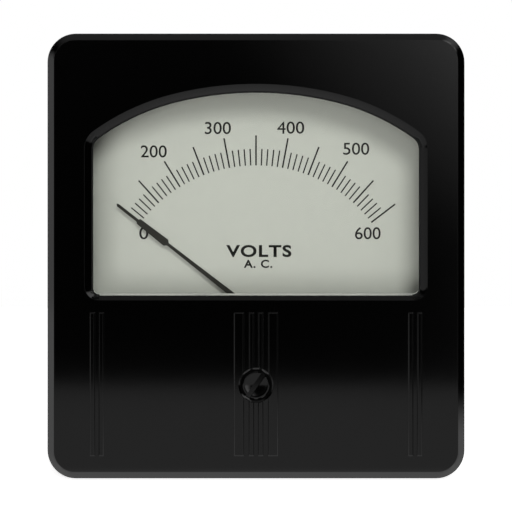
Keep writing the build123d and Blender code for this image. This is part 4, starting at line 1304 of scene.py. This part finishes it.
@dataclass
class Base:
    """Moulded flange and barrel with the terminals' washers and nuts."""

    edge_mm: float = 0.2
    nut_edge_mm: float = 0.18
    washer_edge_mm: float = 0.1

    def build(self) -> None:
        """Builds the mouldings, nuts and washers with rounded edges."""
        rows = (
            ("base", "barrel_moulding", self.edge_mm, SATIN_PHENOLIC, "base_phenolic"),
            ("base_flange", "flange_moulding", self.edge_mm, SATIN_PHENOLIC, "base_phenolic"),
            ("terminal_nuts", "hex_nuts", self.nut_edge_mm, NICKEL, "nickel_brass"),
            ("terminal_washers", "round_washers", self.washer_edge_mm, NICKEL, "nickel_brass"),
        )
        for node, name, edge, finish, slot in rows:
            finish_piece(softened(node, name, edge, finish), "case", (node,))
        dress("terminal_tags", NICKEL)


@dataclass(frozen=True)
class Lobe:
    """One soft patch of studio light by its middle and the cosines where it begins and is full."""

    name: str
    middle: tuple[float, float, float]
    begins: float
    full: float
    strength: float


@dataclass(frozen=True)
class Lamp:
    """One round soft lamp by its place, its width and its power in watts.

    Only the pieces named as its blockers shade it, or every piece where none is named.
    """

    name: str
    place: tuple[float, float, float]
    size: float
    watts: float
    blockers: tuple[str, ...] = ()


# Pieces that shade the dial from every lamp.
WINDOW_EDGE = ("cover_shell", "shade_gap_bead")


@dataclass
class Studio:
    """Pale floor, soft light and the camera of the photograph.

    The gap takes the light out of the front sheet's middle, so the sheet shows as a ring.
    """

    camera_distance: float = 300.0
    lens: float = 85.5
    sensor: float = 36.0
    nearest_seen: float = 10.0
    floor_front: float = -225.0
    floor_back: float = 900.0
    floor_half_width: float = 900.0
    floor_z: float = -50.8
    lobes: tuple[Lobe, ...] = (
        Lobe("front sheet", (-0.08, -1.0, -0.02), 0.79, 0.885, 1.15),
        Lobe("front gap", (-0.08, -1.0, -0.02), 0.9135, 0.970, -1.15),
        Lobe("left wall", (-1.0, 0.25, 0.0), 0.85, 0.99, 0.61),
        Lobe("front glare", (0.257, -1.0, 0.286), 0.961, 0.9976, 0.35),
        Lobe("ceiling", (0.0, 0.0, 1.0), 0.6, 0.95, 0.18),
        Lobe("corner glint", (0.65, -0.12, 0.75), 0.9, 0.985, 1.1),
        Lobe("back wall", (0.0, 1.0, 0.2), 0.45, 0.85, 0.9),
    )
    lamps: tuple[Lamp, ...] = (
        Lamp("key", (64.0, -560.0, 140.0), 170.0, 1.3),
        Lamp("fill", (-96.0, -560.0, -112.0), 200.0, 0.95, WINDOW_EDGE),
        Lamp("front", (0.0, -560.0, 0.0), 120.0, 0.3, WINDOW_EDGE),
    )

    def build(self) -> None:
        """Builds the floor, the light and the camera."""
        self.floor()
        self.light()
        for lamp in self.lamps:
            self.hang(lamp)
        self.camera()

    def floor(self) -> None:
        """Lays a plain pale floor under the case."""
        wide = self.floor_half_width
        near, far = self.floor_front, self.floor_back
        corners = ((-wide, near), (wide, near), (wide, far), (-wide, far))
        form = bmesh.new()
        form.faces.new([form.verts.new((x * MM, y * MM, self.floor_z * MM)) for x, y in corners])
        new_piece("floor", form, FLOOR_PAPER)

    def light(self) -> None:
        """Surrounds the meter with a dark room and soft patches of light, white past the meter."""
        world = bpy.data.worlds.new("studio")
        world.use_nodes = True
        bpy.context.scene.world = world
        tree = world.node_tree
        tree.nodes.clear()
        way = add_node(tree, "ShaderNodeTexCoord").outputs["Generated"]
        total = None
        for lobe in self.lobes:
            aim = Vector(lobe.middle).normalized()
            settings = {"operation": "DOT_PRODUCT", 1: aim}
            facing = add_node(tree, "ShaderNodeVectorMath", settings, {0: way})
            settings = {
                "label": lobe.name,
                "interpolation_type": "SMOOTHSTEP",
                "From Min": lobe.begins,
                "From Max": lobe.full,
                "To Max": lobe.strength,
            }
            links = {"Value": facing.outputs["Value"]}
            patch = add_node(tree, "ShaderNodeMapRange", settings, links).outputs["Result"]
            if total is not None:
                links = {0: total, 1: patch}
                patch = add_node(tree, "ShaderNodeMath", {"operation": "ADD"}, links).outputs[0]
            total = patch
        room = add_node(tree, "ShaderNodeBackground", {"Color": linear(WHITE)}, {"Strength": total})
        paper = add_node(tree, "ShaderNodeBackground", {"Color": linear(WHITE)})
        mixed = by_ray(tree, "Is Camera Ray", room.outputs[0], paper.outputs[0])
        output = add_node(tree, "ShaderNodeOutputWorld", None, {"Surface": mixed})
        output.is_active_output = True

    def hang(self, lamp: Lamp) -> None:
        """Hangs a lamp that lights the dial and is itself not seen.

        Args:
            lamp: Lamp with its place, width and power.
        """
        bulb = bpy.data.lights.new(lamp.name, "AREA")
        bulb.shape = "DISK"
        bulb.size = lamp.size * MM
        bulb.energy = lamp.watts
        hung = new_object(lamp.name, bulb)
        hung.location = Vector(lamp.place) * MM
        hung.rotation_euler = (-hung.location).to_track_quat("-Z", "Y").to_euler()
        hung.visible_camera = False
        hung.visible_glossy = False
        hung.visible_transmission = False
        if lamp.blockers:
            shades = bpy.data.collections.new(f"{lamp.name}_blockers")
            for name in lamp.blockers:
                shades.objects.link(bpy.data.objects[name])
            hung.light_linking.blocker_collection = shades

    def camera(self) -> None:
        """Sets the camera straight in front of the case's middle."""
        lens = bpy.data.cameras.new("camera")
        lens.lens = self.lens
        lens.sensor_width = self.sensor
        lens.clip_start = self.nearest_seen * MM
        eye = new_object("camera", lens)
        eye.location = (0, -self.camera_distance * MM, 0)
        eye.rotation_euler = (QUARTER_TURN, 0, 0)
        bpy.context.scene.camera = eye
        bpy.context.scene.view_settings.view_transform = "Standard"


def main() -> None:
    """Builds every sub-assembly in order."""
    logging.basicConfig(level=logging.INFO, format="%(name)s: %(message)s")
    cover = FrontCover()
    mounting = ThreadedStuds(
        name="mounting_bolts",
        node="mounting_studs",
        slot="plated_steel",
        finish=ZINC,
        places=((-38.1, -41.275), (38.1, -41.275), (-38.1, 41.275), (38.1, 41.275)),
        front=((4.0, -4.9), (4.0, -3.5), (3.0, -3.5), (3.0, 0.0), (2.0, 0.0)),
        thread_start=0.5,
        thread_end=23.4,
        end=24.0,
        crest_r=2.4,
        pitch=0.8,
    )
    terminals = ThreadedStuds(
        name="terminal_bolts",
        node="terminal_studs",
        slot="nickel_brass",
        finish=NICKEL,
        places=((-19.05, 2.0), (19.05, 2.0)),
        front=((4.6, 42.5), (4.6, 45.5), (2.4, 45.5), (2.4, 60.7), (1.85, 60.9)),
        thread_start=61.0,
        thread_end=70.2,
        end=70.7,
        crest_r=2.2,
        pitch=0.7,
    )
    face = (cover, Window(cover), Dial(), Pointer(), Movement(), ZeroAdjuster(cover))
    rear = (Base(), CaseScrews(), mounting, terminals)
    for assembly in (*face, *rear, Studio()):
        LOG.info("building %s", type(assembly).__name__)
        assembly.build()


if __name__ == "__main__":
    main()
